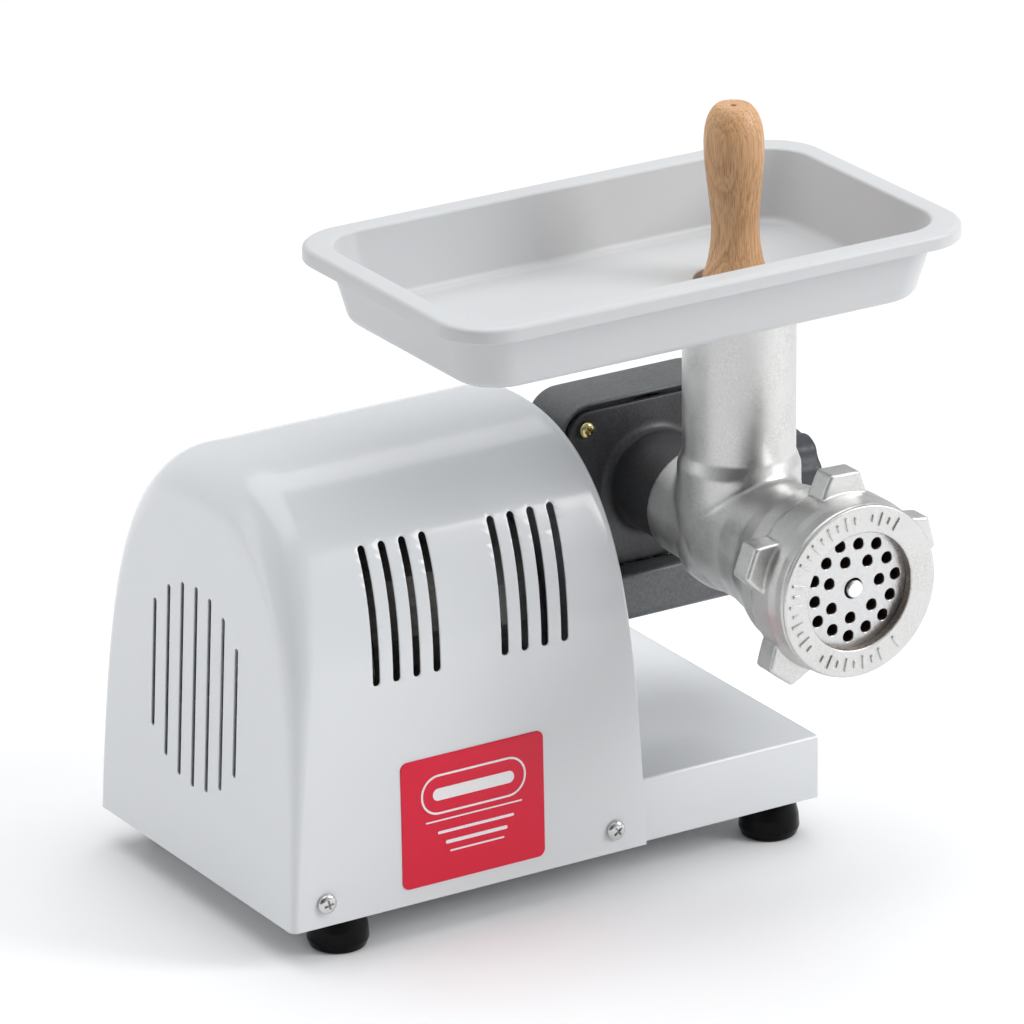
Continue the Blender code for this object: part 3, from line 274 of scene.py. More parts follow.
def middle(low, high, axes="xy"):
    """The centre of a box seen along the third axis."""
    return tuple((getattr(low, axis) + getattr(high, axis)) / 2 for axis in axes)


def baked(item, tools=()):
    """Apply an object's modifiers, then remove the tools they used."""
    bpy.context.view_layer.update()
    mesh = bpy.data.meshes.new_from_object(item.evaluated_get(bpy.context.evaluated_depsgraph_get()))
    item.modifiers.clear()
    old = item.data
    item.data = mesh
    bpy.data.meshes.remove(old)
    for tool in tools:
        tool_mesh = tool.data
        bpy.data.objects.remove(tool)
        bpy.data.meshes.remove(tool_mesh)
    return item


def combine(item, operation, *tools):
    """Boolean an object with each tool in turn."""
    for tool in tools:
        modifier = item.modifiers.new("combine", "BOOLEAN")
        modifier.operation = operation
        modifier.solver = "EXACT"
        modifier.object = tool
    return baked(item, tools)


def carve(item, *tools):
    """Take tools away from an object."""
    return combine(item, "DIFFERENCE", *tools)


def fuse(item, *tools):
    """Add tools to an object."""
    return combine(item, "UNION", *tools)


def blended(item, voxel, rounds=4):
    """Re-skin overlapping solids as one casting, with softened corners."""
    skin = item.modifiers.new("skin", "REMESH")
    skin.mode = "VOXEL"
    skin.voxel_size = voxel * MM
    soften = item.modifiers.new("soften", "SMOOTH")
    soften.factor = 0.5
    soften.iterations = rounds
    return baked(item)


def finish_mesh(item, angle):
    """Smooth shading with sharp edges kept."""
    item.data.shade_smooth()
    item.data.set_sharp_from_angle(angle=math.radians(angle))


def show(item, body, slot, paint=None, *replaced, angle=32.0):
    """Give a piece its finish, by default that of its slot, and its place on a body."""
    finish_mesh(item, angle)
    item.data.materials.clear()
    item.data.materials.append(paint or FINISHES[slot])
    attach(item, body)
    if replaced:
        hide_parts(*replaced)
    return item


# --- Finishes ---------------------------------------------------------------------------------

class Finish:
    """A Principled material and short calls for the nodes that feed it."""

    def __init__(self, name, color, roughness, metallic=0.0, **sockets):
        self.material = bpy.data.materials.new(name)
        self.material.use_nodes = True
        self.nodes = self.material.node_tree.nodes
        self.links = self.material.node_tree.links
        self.shader = self.nodes["Principled BSDF"]
        self.shader.inputs["Base Color"].default_value = (*color, 1.0)
        self.shader.inputs["Roughness"].default_value = roughness
        self.shader.inputs["Metallic"].default_value = metallic
        for socket, value in sockets.items():
            self.shader.inputs[socket.replace("_", " ")].default_value = value
        self.place = self.nodes.new("ShaderNodeTexCoord").outputs["Object"]
        self.relief = None

    def stretched(self, scale, offset=(0.0, 0.0, 0.0), turn=(0.0, 0.0, 0.0)):
        mapping = self.nodes.new("ShaderNodeMapping")
        mapping.inputs["Location"].default_value = offset
        mapping.inputs["Rotation"].default_value = turn
        mapping.inputs["Scale"].default_value = scale
        self.links.new(self.place, mapping.inputs["Vector"])
        return mapping.outputs["Vector"]

    def noise(self, grain_mm, detail=2.0, stretch=(1.0, 1.0, 1.0), distortion=0.0):
        node = self.nodes.new("ShaderNodeTexNoise")
        node.inputs["Scale"].default_value = 1000.0 / grain_mm
        node.inputs["Detail"].default_value = detail
        node.inputs["Distortion"].default_value = distortion
        self.links.new(self.stretched(stretch), node.inputs["Vector"])
        return node.outputs[0]

    def ranged(self, value, low, high, start=0.3, end=0.7):
        node = self.nodes.new("ShaderNodeMapRange")
        for index, number in enumerate((start, end, low, high), start=1):
            node.inputs[index].default_value = number
        self.links.new(value, node.inputs[0])
        return node.outputs[0]

    def mixed(self, share, first, second):
        """Mix two colours, or a colour socket and a colour."""
        node = self.nodes.new("ShaderNodeMix")
        node.data_type = "RGBA"
        self.links.new(share, node.inputs[0])
        for index, color in ((6, first), (7, second)):
            if isinstance(color, tuple):
                node.inputs[index].default_value = (*color, 1.0)
            else:
                self.links.new(color, node.inputs[index])
        return node.outputs[2]

    def maths(self, operation, value, *numbers):
        """A maths node on a value, with numbers or a socket for its other inputs."""
        node = self.nodes.new("ShaderNodeMath")
        node.operation = operation
        self.links.new(value, node.inputs[0])
        for index, number in enumerate(numbers, start=1):
            if isinstance(number, float):
                node.inputs[index].default_value = number
            else:
                self.links.new(number, node.inputs[index])
        return node.outputs[0]

    def length(self, vector):
        node = self.nodes.new("ShaderNodeVectorMath")
        node.operation = "LENGTH"
        self.links.new(vector, node.inputs[0])
        return node.outputs["Value"]

    def color(self, socket):
        self.links.new(socket, self.shader.inputs["Base Color"])

    def speckled(self, grain_mm, detail, first, second):
        """Base colour mottled between two colours."""
        self.color(self.mixed(self.ranged(self.noise(grain_mm, detail), 0.0, 1.0), first, second))

    def patchy(self, grain_mm, detail, low, high):
        """Roughness that wanders between two values."""
        self.rough(self.ranged(self.noise(grain_mm, detail), low, high))

    def grained(self, grain_mm, detail, depth_mm, strength):
        """A noise relief."""
        self.bump(self.noise(grain_mm, detail), depth_mm, strength)

    def rough(self, socket):
        self.links.new(socket, self.shader.inputs["Roughness"])

    def bump(self, height, depth_mm, strength=1.0):
        node = self.nodes.new("ShaderNodeBump")
        node.inputs["Strength"].default_value = strength
        node.inputs["Distance"].default_value = depth_mm * MM
        self.links.new(height, node.inputs["Height"])
        if self.relief:
            self.links.new(self.relief, node.inputs["Normal"])
        self.relief = node.outputs["Normal"]
        self.links.new(self.relief, self.shader.inputs["Normal"])


def enamel():
    """Gloss white stove enamel with a faint orange peel."""
    look = Finish("white_enamel", (0.715, 0.73, 0.745), 0.24, Coat_Weight=0.35, Coat_Roughness=0.08)
    look.color(look.mixed(look.noise(120.0, 1.0), (0.708, 0.724, 0.740), (0.724, 0.738, 0.752)))
    look.rough(look.ranged(look.noise(25.0, 1.0), 0.225, 0.255, 0.0, 1.0))
    look.grained(2.4, 0.0, 0.010, 0.25)
    return look.material


def tray_plastic():
    """Satin white moulded plastic."""
    look = Finish("white_plastic", (0.58, 0.59, 0.60), 0.34, Subsurface_Weight=0.05, Subsurface_Scale=0.002)
    look.color(look.mixed(look.noise(90.0, 1.0), (0.572, 0.582, 0.594), (0.590, 0.598, 0.606)))
    look.rough(look.ranged(look.noise(12.0, 2.0), 0.32, 0.38, 0.0, 1.0))
    look.grained(0.8, 3.0, 0.012, 0.5)
    return look.material


def cast_metal(name="cast_aluminium", tone=0.91, grain=0.55, depth=0.05, roughness=(0.32, 0.46)):
    """Tumbled cast aluminium: a fine grain over broad, soft unevenness."""
    dark = (0.56 * tone, 0.56 * tone, 0.545 * tone)
    light = (0.74 * tone, 0.74 * tone, 0.725 * tone)
    look = Finish(name, light, roughness[0], 1.0)
    fine = look.noise(grain * 2.2, 3.0)
    broad = look.noise(16.0, 4.0, distortion=0.6)
    look.color(look.mixed(look.ranged(fine, 0.0, 1.0),
                          look.mixed(look.ranged(broad, 0.0, 1.0), dark, light), light))
    look.rough(look.ranged(broad, roughness[0], roughness[1]))
    look.bump(broad, 0.25, 0.25)
    look.grained(grain, 2.0, depth, 0.6)
    return look.material


def bright_steel(name="steel", tone=0.66, roughness=(0.16, 0.28)):
    """Turned steel with fine scratches."""
    look = Finish(name, (tone, tone, tone * 1.01), roughness[0], 1.0)
    look.patchy(1.5, 3.0, roughness[0], roughness[1])
    look.color(look.mixed(look.noise(3.0), (tone * 0.92,) * 3, (tone * 1.06,) * 3))
    look.grained(0.35, 2.0, 0.008, 0.5)
    return look.material


def turned_face(name, centre, pitch_mm, tone, roughness):
    """Steel faced on a lathe: fine rings about an axis along Y."""
    look = Finish(name, (tone, tone, tone), roughness, 1.0)
    spot = place(centre[0], 0.0, centre[1])
    across = look.stretched((1.0, 0.0, 1.0), offset=(-spot.x, 0.0, -spot.z))
    turns = look.maths("MULTIPLY", look.length(across), 2 * math.pi * 1000.0 / pitch_mm)
    look.color(look.mixed(look.noise(2.5, 3.0), (tone * 0.90,) * 3, (tone * 1.07,) * 3))
    look.patchy(1.2, 3.0, roughness * 0.85, roughness * 1.25)
    look.bump(look.maths("SINE", turns), 0.006, 0.35)
    return look.material


def shade_bore(item, radius):
    """Give the second finish, a painted shade, to the walls that lie within a radius of the head's axis."""
    for face in item.data.polygons:
        spot = (face.center - ORIGIN) / MM
        if abs(face.normal.y) < 0.5 and math.hypot(spot.x - HEAD_X, spot.z - HEAD_Z) < radius:
            face.material_index = 1


def bore_shade_metal(name, dark, light, metallic):
    """Metal darkened inside a bore: painted shade on the bore's walls."""
    look = Finish(name, dark, 0.55, metallic)
    look.speckled(1.5, 3.0, dark, light)
    look.grained(0.5, 2.0, 0.02, 0.5)
    return look.material


def black_casting(name="black_casting", dark=(0.020, 0.021, 0.022), light=(0.046, 0.045, 0.050), gloss=0.6):
    """Black stove paint over a rough casting."""
    look = Finish(name, dark, 0.42, Specular_IOR_Level=gloss)
    fine = look.noise(1.3, 4.0)
    broad = look.noise(22.0, 4.0)
    look.color(look.mixed(look.ranged(fine, 0.0, 1.0), dark, light))
    look.rough(look.ranged(broad, 0.34, 0.52))
    look.bump(broad, 0.4, 0.2)
    look.bump(fine, 0.09, 0.7)
    return look.material


def black_moulding(name, roughness, grain, tone=(0.010, 0.010, 0.011), gloss=0.35):
    """Black moulded rubber or plastic."""
    look = Finish(name, tone, roughness, Specular_IOR_Level=gloss)
    pale = tuple(1.6 * level for level in tone)
    look.speckled(8.0, 3.0, tone, pale)
    look.patchy(3.0, 3.0, roughness * 0.85, roughness * 1.25)
    look.grained(grain, 2.0, 0.02, 0.5)
    return look.material


def yellow_metal(name, dark, light, roughness):
    """Brass, bronze or copper with a slight tarnish."""
    look = Finish(name, light, roughness, 1.0)
    look.speckled(2.4, 3.0, dark, light)
    look.patchy(1.4, 3.0, roughness * 0.8, roughness * 1.3)
    look.grained(0.4, 2.0, 0.01, 0.5)
    return look.material


def label_gloss():
    """Red printed film with the finest grain of its print."""
    look = Finish("red_label", (0.72, 0.012, 0.042), 0.38, Specular_IOR_Level=0.3)
    look.speckled(0.5, 2.0, (0.69, 0.011, 0.038), (0.75, 0.014, 0.048))
    look.rough(look.ranged(look.noise(20.0, 1.0), 0.36, 0.40, 0.0, 1.0))
    look.grained(3.0, 0.0, 0.006, 0.3)
    return look.material


def label_ink():
    """White ink on the label."""
    look = Finish("white_ink", (0.86, 0.84, 0.85), 0.4)
    look.speckled(0.6, 2.0, (0.82, 0.78, 0.80), (0.90, 0.89, 0.89))
    look.grained(1.0, 2.0, 0.005, 0.4)
    return look.material


SHEET_PITCH = 0.65              # spacing of the motor's laminations
WAVES_PER_UNIT = 20.0           # bands the wave texture draws at a scale of one


def laminations():
    """Edges of stacked electrical sheet along the motor axis."""
    look = Finish("lamination", (0.22, 0.21, 0.20), 0.5, 0.8)
    sheets = look.nodes.new("ShaderNodeTexWave")
    sheets.inputs["Scale"].default_value = 1000.0 / SHEET_PITCH / WAVES_PER_UNIT
    look.links.new(look.place, sheets.inputs["Vector"])
    look.color(look.mixed(look.noise(4.0, 4.0), (0.10, 0.085, 0.07), (0.26, 0.25, 0.24)))
    look.bump(sheets.outputs[1], 0.05, 0.5)
    return look.material


def grey_plastic():
    """Matt grey capacitor can."""
    look = Finish("grey_plastic", (0.10, 0.10, 0.105), 0.5)
    look.color(look.mixed(look.noise(9.0, 3.0), (0.085, 0.085, 0.09), (0.12, 0.12, 0.125)))
    look.grained(0.8, 2.0, 0.02, 0.4)
    return look.material


WOOD_PITH = (39.0, 22.5)        # from the pusher's axis to the middle of the growth rings
WOOD_RING = 2.1                 # growth ring spacing
WOOD_WOBBLE = 7.5               # how far the rings wander


def pusher_wood():
    """Turned pine: growth rings about an upright pith beside the piece, with fine pores."""
    look = Finish("wood", (0.52, 0.29, 0.13), 0.46, Coat_Weight=0.08, Coat_Roughness=0.3)
    centre = place((PUSHER_LOW.x + PUSHER_HIGH.x) / 2 + WOOD_PITH[0], THROAT_Y + WOOD_PITH[1], 0.0)
    across = look.stretched((1.0, 1.0, 0.045), offset=(-centre.x, -centre.y, 0.012))
    wobble = look.noise(1000.0 / 30.0, 2.0, stretch=(1.0, 1.0, 0.35))
    shifted = look.maths("MULTIPLY_ADD", wobble, WOOD_WOBBLE * MM, look.length(across))
    fraction = look.maths("FRACT", look.maths("MULTIPLY", shifted, 1000.0 / WOOD_RING))
    profile = look.nodes.new("ShaderNodeValToRGB")
    stops = ((0.0, 0.12), (0.12, 0.0), (0.55, 0.18), (0.88, 0.85), (0.96, 1.0), (1.0, 0.12))
    ramp = profile.color_ramp
    for index, (position, level) in enumerate(stops):
        stop = ramp.elements[index] if index < 1 else ramp.elements.new(position)
        stop.position = position
        stop.color = (level, level, level, 1.0)
    ramp.elements.remove(ramp.elements[-1])
    look.links.new(fraction, profile.inputs[0])
    pores = look.ranged(look.noise(0.5, 3.0, stretch=(1.0, 1.0, 0.035)), 0.0, 1.0, 0.45, 0.75)
    broad = look.ranged(look.noise(30.0, 3.0, stretch=(1.0, 1.0, 0.3)), 0.0, 1.0)
    base = look.mixed(broad, (0.64, 0.362, 0.172), (0.76, 0.465, 0.250))
    ringed = look.mixed(profile.outputs[0], base, (0.400, 0.190, 0.078))
    softened = look.mixed(look.ranged(broad, 0.30, 0.62, 0.0, 1.0), base, ringed)
    look.color(look.mixed(pores, softened, (0.34, 0.165, 0.070)))
    look.rough(look.ranged(pores, 0.42, 0.60, 0.0, 1.0))
    look.bump(pores, 0.03, -0.5)
    return look.material


FINISHES = {
    "white_enamel": enamel(),
    "white_plastic": tray_plastic(),
    "black_casting": black_casting(),
    "black_rubber": black_moulding("black_rubber", 0.22, 0.9, (0.002, 0.002, 0.0024), 0.12),
    "black_plastic": black_moulding("black_plastic", 0.34, 0.6),
    "cast_aluminium": cast_metal(),
    "steel": bright_steel(),
    "lamination": laminations(),
    "copper": yellow_metal("copper", (0.20, 0.07, 0.03), (0.42, 0.16, 0.07), 0.35),
    "bronze": yellow_metal("bronze", (0.40, 0.25, 0.10), (0.62, 0.43, 0.20), 0.30),
    "brass_screw": yellow_metal("brass_screw", (0.62, 0.50, 0.20), (0.83, 0.74, 0.42), 0.22),
    "wood": pusher_wood(),
    "red_label": label_gloss(),
    "grey_plastic": grey_plastic(),
}


# --- Casework ---------------------------------------------------------------------------------

def cover_front_y(height):
    """Y of the cover's front wall at a height."""
    share = (1 - (height / COVER_HEIGHT) ** ARCH_TOP_POWER) ** (1 / ARCH_SIDE_POWER)
    return COVER_DEPTH / 2 - (COVER_DEPTH / 2 - SIDE_DRAFT * height) * share


def arch_points(count):
    """Evenly spaced arch points (Y, Z) with inward normals, front foot to back foot."""
    fine = []
    for step in range(401):
        angle = math.pi / 2 * step / 400
        height = COVER_HEIGHT * math.sin(angle) ** (2 / ARCH_TOP_POWER)
        half = (COVER_DEPTH / 2 - SIDE_DRAFT * height) * math.cos(angle) ** (2 / ARCH_SIDE_POWER)
        fine.append(Vector((COVER_DEPTH / 2 - (half if step < 400 else 0.0), height)))
    fine += [Vector((COVER_DEPTH - point.x, point.y)) for point in fine[-2::-1]]
    lengths = [0.0]
    for a, b in zip(fine, fine[1:]):
        lengths.append(lengths[-1] + (b - a).length)
    points = []
    index = 0
    for step in range(count + 1):
        target = lengths[-1] * step / count
        while index < len(fine) - 2 and lengths[index + 1] < target:
            index += 1
        share = (target - lengths[index]) / (lengths[index + 1] - lengths[index])
        points.append(fine[index].lerp(fine[index + 1], min(share, 1.0)))
    result = []
    for step, point in enumerate(points):
        along = (points[min(step + 1, count)] - points[max(step - 1, 0)]).normalized()
        inward = Vector((along.y, -along.x))
        if step in (0, count):
            inward = Vector((1.0 if step == 0 else -1.0, 0.0))
        result.append((point.x, point.y, inward))
    return result


def end_row(points, radii, turn, left):
    """A row of the cover's rounded end: turn runs from 0 at the side to 90 degrees on the end."""
    row = []
    for y, z, inward in points:
        radius = radii[0] + (radii[1] - radii[0]) * min(z / COVER_HEIGHT, 1.0) ** 2
        inset = radius * (1 - math.cos(turn))
        setback = radius * (1 - math.sin(turn))
        height = max(z + inward[1] * inset, 0.0)
        x = END_DRAFT * height + setback
        row.append(Vector((x if left else COVER_LENGTH - x, y + inward[0] * inset, height)))
    return row


def cover_skin(bm):
    """The cover's outer surface, closed at the left end and open below and at the right."""
    points = arch_points(132)
    rows = [end_row(points, LEFT_END_RADIUS, math.radians(turn), True) for turn in range(90, -1, -6)]
    first = rows[-1]
    last = end_row(points, RIGHT_END_RADIUS, 0.0, False)
    spans = 34
    rows += [[a.lerp(b, step / spans) for a, b in zip(first, last)] for step in range(1, spans)]
    rows += [end_row(points, RIGHT_END_RADIUS, math.radians(turn), False) for turn in range(0, 71, 10)]
    grid = [[bm.verts.new(place(*point)) for point in row] for row in rows]
    for lower, upper in zip(grid, grid[1:]):
        for index in range(len(points) - 1):
            bm.faces.new((lower[index], lower[index + 1], upper[index + 1], upper[index]))
    bm.faces.new(grid[0][::-1])


def slot_outline(centre, low, high, width, grow, lean=0.0):
    """Matched left and right points of a round-ended slot, bottom to top, leaning at its top."""
    radius = width / 2 + grow
    pairs = []
    for step in range(1, 7):
        angle = math.pi / 2 * step / 6
        pairs.append((radius * math.sin(angle), low + width / 2 - radius * math.cos(angle)))
    rise = high - low - width
    for step in range(1, 12):
        pairs.append((radius, low + width / 2 + rise * step / 12))
    for step in range(6, 0, -1):
        angle = math.pi / 2 * step / 6
        pairs.append((radius * math.sin(angle), high - width / 2 + radius * math.cos(angle)))
    return [(centre + lean * (z - low) / (high - low) - half,
             centre + lean * (z - low) / (high - low) + half, z) for half, z in pairs]


def slot_tool(name, centre, low, high, width, on_face, lean=0.0):
    """A slot cutter with an eased mouth, relieved inside; on_face(u, z, depth) gives its points."""
    levels = ((-4.0, 0.35), (0.0, 0.35), (0.06, 0.16), (0.2, 0.04), (0.4, 0.0), (0.7, 0.0), (1.3, 1.8),
              (12.0, 2.2))

    def make(bm):
        rings = []
        for depth, grow in levels:
            pairs = slot_outline(centre, low, high, width, grow, lean)
            right = [bm.verts.new(place(*on_face(b, z, depth))) for _, b, z in pairs]
            left = [bm.verts.new(place(*on_face(a, z, depth))) for a, _, z in pairs]
            rings.append((right, left))
        for (right_a, left_a), (right_b, left_b) in zip(rings, rings[1:]):
            ring_a = right_a + left_a[::-1]
            ring_b = right_b + left_b[::-1]
            for index in range(len(ring_a)):
                after = (index + 1) % len(ring_a)
                bm.faces.new((ring_a[index], ring_a[after], ring_b[after], ring_b[index]))
        for right, left in (rings[0], rings[-1]):
            for index in range(len(right) - 1):
                bm.faces.new((right[index], right[index + 1], left[index + 1], left[index]))
    return solid(name, make)


SLOT_GROUPS = (54.0, 129.5)     # foot of the first slot in each group
SLOTS_IN_GROUP = 4
SLOT_PITCH = 11.8
SLOT_SPAN = (120.7, 187.6)
SLOT_WIDTH = 4.2
SLOT_LEAN = 5.0                 # how far a slot's top stands to the right of its foot
GRILLE_HALF_COUNT = 3           # slots on each side of the middle one
GRILLE_PITCH = 13.8
GRILLE_WIDTH = 3.2
GRILLE_RADIUS = 54.0
GRILLE_CENTRE = (103.0, 97.5)
COVER_SCREW_X = (20.0, 191.5)
COVER_SCREW_Z = 12.5
SCREW_HOLE_RADIUS = 2.4


def cover_tools():
    """Cutters for the front slots, the end grille, the screws and the switch."""
    tools = []
    for first in SLOT_GROUPS:
        for index in range(SLOTS_IN_GROUP):
            tools.append(slot_tool("front_slot", first + SLOT_PITCH * index, *SLOT_SPAN, SLOT_WIDTH,
                                   lambda u, z, depth: (u, cover_front_y(z) + depth, z), SLOT_LEAN))
    for index in range(-GRILLE_HALF_COUNT, GRILLE_HALF_COUNT + 1):
        offset = index * GRILLE_PITCH
        half = math.sqrt(GRILLE_RADIUS ** 2 - offset ** 2)
        tools.append(slot_tool("grille_slot", GRILLE_CENTRE[0] + offset, GRILLE_CENTRE[1] - half,
                               GRILLE_CENTRE[1] + half, GRILLE_WIDTH,
                               lambda u, z, depth: (END_DRAFT * z + depth, u, z)))
    for x in COVER_SCREW_X:
        hole = circle((x, COVER_SCREW_Z), SCREW_HOLE_RADIUS, 24)
        tools.append(extruded("screw_hole", hole, -5.0, COVER_DEPTH + 5.0, "Y"))
    low, high = design_box("power_switch_housing")
    window = rectangle((low.x + 1.5, low.z + 1.5), (high.x - 1.5, high.z - 1.5), 1)
    tools.append(extruded("switch_window", window, COVER_DEPTH - 20.0, COVER_DEPTH + 5.0, "Y"))
    return tools


def make_cover():
    """The enamelled arch cover."""
    cover = solid("motor_cover_shell", cover_skin)
    wall = cover.modifiers.new("wall", "SOLIDIFY")
    wall.thickness = WALL * MM
    wall.offset = -1.0
    wall.use_even_offset = True
    baked(cover)
    carve(cover, *cover_tools())
    show(cover, "machine", "white_enamel", None, "motor_cover", angle=30.0)
    end_normal = Vector((-1.0, 0.0, END_DRAFT)).normalized()
    for face in cover.data.polygons:
        face.use_smooth = abs(face.normal.dot(end_normal)) < 0.9995


BASE_SHEET = 1.5
BASE_CORNER = 6.0               # the pan's left corners, hidden in the cover's rounded end
UNDER_OPENING = ((62.0, 38.0), (273.0, COVER_DEPTH - 38.0))


def make_base():
    """The folded base pan, with the seams where its end flap meets the sides."""
    low, high = BASE_LOW, BASE_HIGH
    outline = rectangle((low.x, low.y), (high.x, high.y), (BASE_CORNER, 1.6, 1.6, BASE_CORNER))
    pan = extruded("base_pan_shell", outline, 0.0, high.z, "Z", rims=(0.9, 1.8))
    inner = rectangle((low.x + BASE_SHEET, low.y + BASE_SHEET), (high.x - BASE_SHEET, high.y - BASE_SHEET),
                      (BASE_CORNER - BASE_SHEET, 0.8, 0.8, BASE_CORNER - BASE_SHEET))
    tools = [extruded("hollow", inner, BASE_SHEET, high.z - BASE_SHEET, "Z"),
             extruded("opening", rectangle(*UNDER_OPENING, 4), -2.0, BASE_SHEET + 1.0, "Z")]
    for y, side in ((low.y, 1), (high.y, -1)):
        edges = sorted((y + side * 2.6, y + side * 3.0))
        seam = rectangle((high.x - 0.35, edges[0]), (high.x + 1.0, edges[1]), 0)
        tools.append(extruded("flap_seam", seam, 1.2, high.z - 2.4, "Z"))
    for x in COVER_SCREW_X:
        hole = circle((x, COVER_SCREW_Z), SCREW_HOLE_RADIUS, 24)
        tools.append(extruded("side_hole", hole, -2.0, COVER_DEPTH + 2.0, "Y"))
    carve(pan, *tools)
    show(pan, "machine", "white_enamel", None, "base_pan")


def make_feet():
    """Glossy rubber feet: a collar above a wide bell, with a screw socket below."""
    for node in ("foot_front_left", "foot_front_right", "foot_back_left", "foot_back_right"):
        low, high = design_box(node)
        at = middle(low, high)
        corners = [(3.0, high.z, 0), (13.4, high.z, 0.8), (14.2, high.z - 3.0, 1.5), (15.5, -9.0, 2.0),
                   (16.0, -15.5, 2.5), (14.4, low.z, 1.6), (6.6, low.z, 0.8), (6.6, -12.4, 0.5),
                   (3.0, -12.4, 0)]
        foot = turned(node + "_rubber", filleted(corners), "Z", at, 72, closed=True)
        show(foot, "machine", "black_rubber", None, node)


# --- Screws -----------------------------------------------------------------------------------

def cross_arm(centre, depth, size, outward, turn):
    """One arm of a tapered cross recess along Y."""
    across = Vector((math.cos(math.radians(turn)), math.sin(math.radians(turn))))
    side = Vector((-across.y, across.x))

    def make(bm):
        loops = []
        for share, along in ((1.0, centre[1] + outward * 1.0), (1.0, centre[1]),
                             (0.35, centre[1] - outward * depth)):
            reach = size * share
            half = size * 0.22 * (0.6 + 0.4 * share)
            loops.append([(centre[0] + (across * a + side * b).x, along,
                           centre[2] + (across * a + side * b).y)
                          for a, b in ((-reach, -half), (reach, -half), (reach, half), (-reach, half))])
        loft(bm, loops)
    return solid("cross_arm", make)


def make_screw(node, slot, head, outward, turn):
    """A domed screw with a cross recess, on the place of its CAD node."""
    low, high = design_box(node)
    x, z = middle(low, high, "xz")
    top = low.y if outward < 0 else high.y
    radius, height = head
    seat = top - outward * height
    profile = [(0.0, top), (radius * 0.30, top - outward * 0.03)]
    for step in range(1, 9):
        angle = math.pi / 2 * step / 8
        profile.append((radius * (0.30 + 0.70 * math.sin(angle)),
                        seat + outward * height * (0.25 + 0.73 * math.cos(angle))))
    profile += [(radius, seat), (radius * 0.46, seat), (radius * 0.46, seat - outward * 4.0),
                (0.0, seat - outward * 4.0)]
    screw = turned(node + "_head", profile, "Y", (x, z), 48)
    recess = ((x, top, z), height * 0.75, radius * 0.56, outward)
    carve(screw, cross_arm(*recess, turn), cross_arm(*recess, turn + 90.0))
    show(screw, "machine", slot, None, node, angle=28.0)


def make_screws():
    """Cover and gearbox screws, each stopped at its own angle."""
    turns = (12.0, 38.0, 61.0, 24.0)
    for index, (row, side) in enumerate((r, s) for r in ("front", "back") for s in ("left", "right")):
        outward = -1 if row == "front" else 1
        make_screw(f"cover_screw_{row}_{side}", "steel", (5.3, 2.8), outward, turns[index])
    for index, (row, side) in enumerate((r, s) for r in ("top", "bottom") for s in ("left", "right")):
        make_screw(f"gear_screw_{row}_{side}", "brass_screw", (4.3, 2.6), -1, turns[-1 - index])


# --- Label ------------------------------------------------------------------------------------

LABEL_LOW = (64.6, 8.6)
LABEL_HIGH = (148.9, 77.2)
LABEL_OVAL = (11.5, 37.0, 73.5, 58.5)       # left, bottom, right, top from LABEL_LOW
LABEL_OVAL_LINE = 1.1
# Left, bottom and right from LABEL_LOW, and height, of each printed bar.
LABEL_BARS = ((18.5, 44.5, 66.5, 6.5), (14.0, 33.2, 71.0, 0.8), (21.0, 26.2, 66.0, 1.5),
              (25.5, 20.0, 62.0, 1.9), (28.0, 15.4, 60.0, 0.9))


def on_cover(outline, out):
    """Points of an (X, Z) outline laid on the cover's front wall, out millimetres proud of it."""
    return [(x, cover_front_y(max(z, 0.0)) - out, z) for x, z in outline]


def make_label():
    """A red printed plate with plain white bars where a maker would print its details."""
    outline = rectangle(LABEL_LOW, LABEL_HIGH, 4, 9.0)
    rims = ((0.0, -0.3), (0.0, 0.45), (0.08, 0.55), (0.25, 0.60))

    def sheet(bm):
        loft(bm, [on_cover(inset_outline(outline, inset), out) for inset, out in rims])
    plate = solid("label", sheet)
    show(plate, "machine", "red_label", None, "label_plate")

    def oval(bm):
        left, bottom, right, top = LABEL_OVAL
        radius = (top - bottom) / 2.02
        outer = rectangle((LABEL_LOW[0] + left, LABEL_LOW[1] + bottom),
                          (LABEL_LOW[0] + right, LABEL_LOW[1] + top), radius, 6.0)
        inner = inset_outline(outer, LABEL_OVAL_LINE)
        loft(bm, [on_cover(outer, 0.5), on_cover(outer, 0.66), on_cover(inner, 0.66), on_cover(inner, 0.5)],
             close_loops=True)

    def bars(bm):
        for left, bottom, right, height in LABEL_BARS:
            low = (LABEL_LOW[0] + left, LABEL_LOW[1] + bottom)
            high = (LABEL_LOW[0] + right, LABEL_LOW[1] + bottom + height)
            shape = rectangle(low, high, height / 2.05)
            loft(bm, [on_cover(shape, 0.5), on_cover(shape, 0.66)])
    ink = solid("label_print", oval, bars)
    show(ink, "machine", "red_label", label_ink())


# --- Gearbox ----------------------------------------------------------------------------------

GEAR_FRONT = 85.0
GEAR_COVER_FACE = 81.0
BOSS_RADIUS = 26.5
SHANK_RADIUS = 20.0
SHAFT_Z = 110.0
KNOB_Y = 55.0                   # the clamping screw crosses the head's shank here


def housing_outline(inset, bottom):
    """The wheel case's outline, rounded at the top corners."""
    low = (HOUSING_LOW.x + inset, bottom)
    high = (HOUSING_HIGH.x - inset, HOUSING_HIGH.z - inset)
    return rectangle(low, high, (2, 2, 18 - inset, 18 - inset), 8.0)


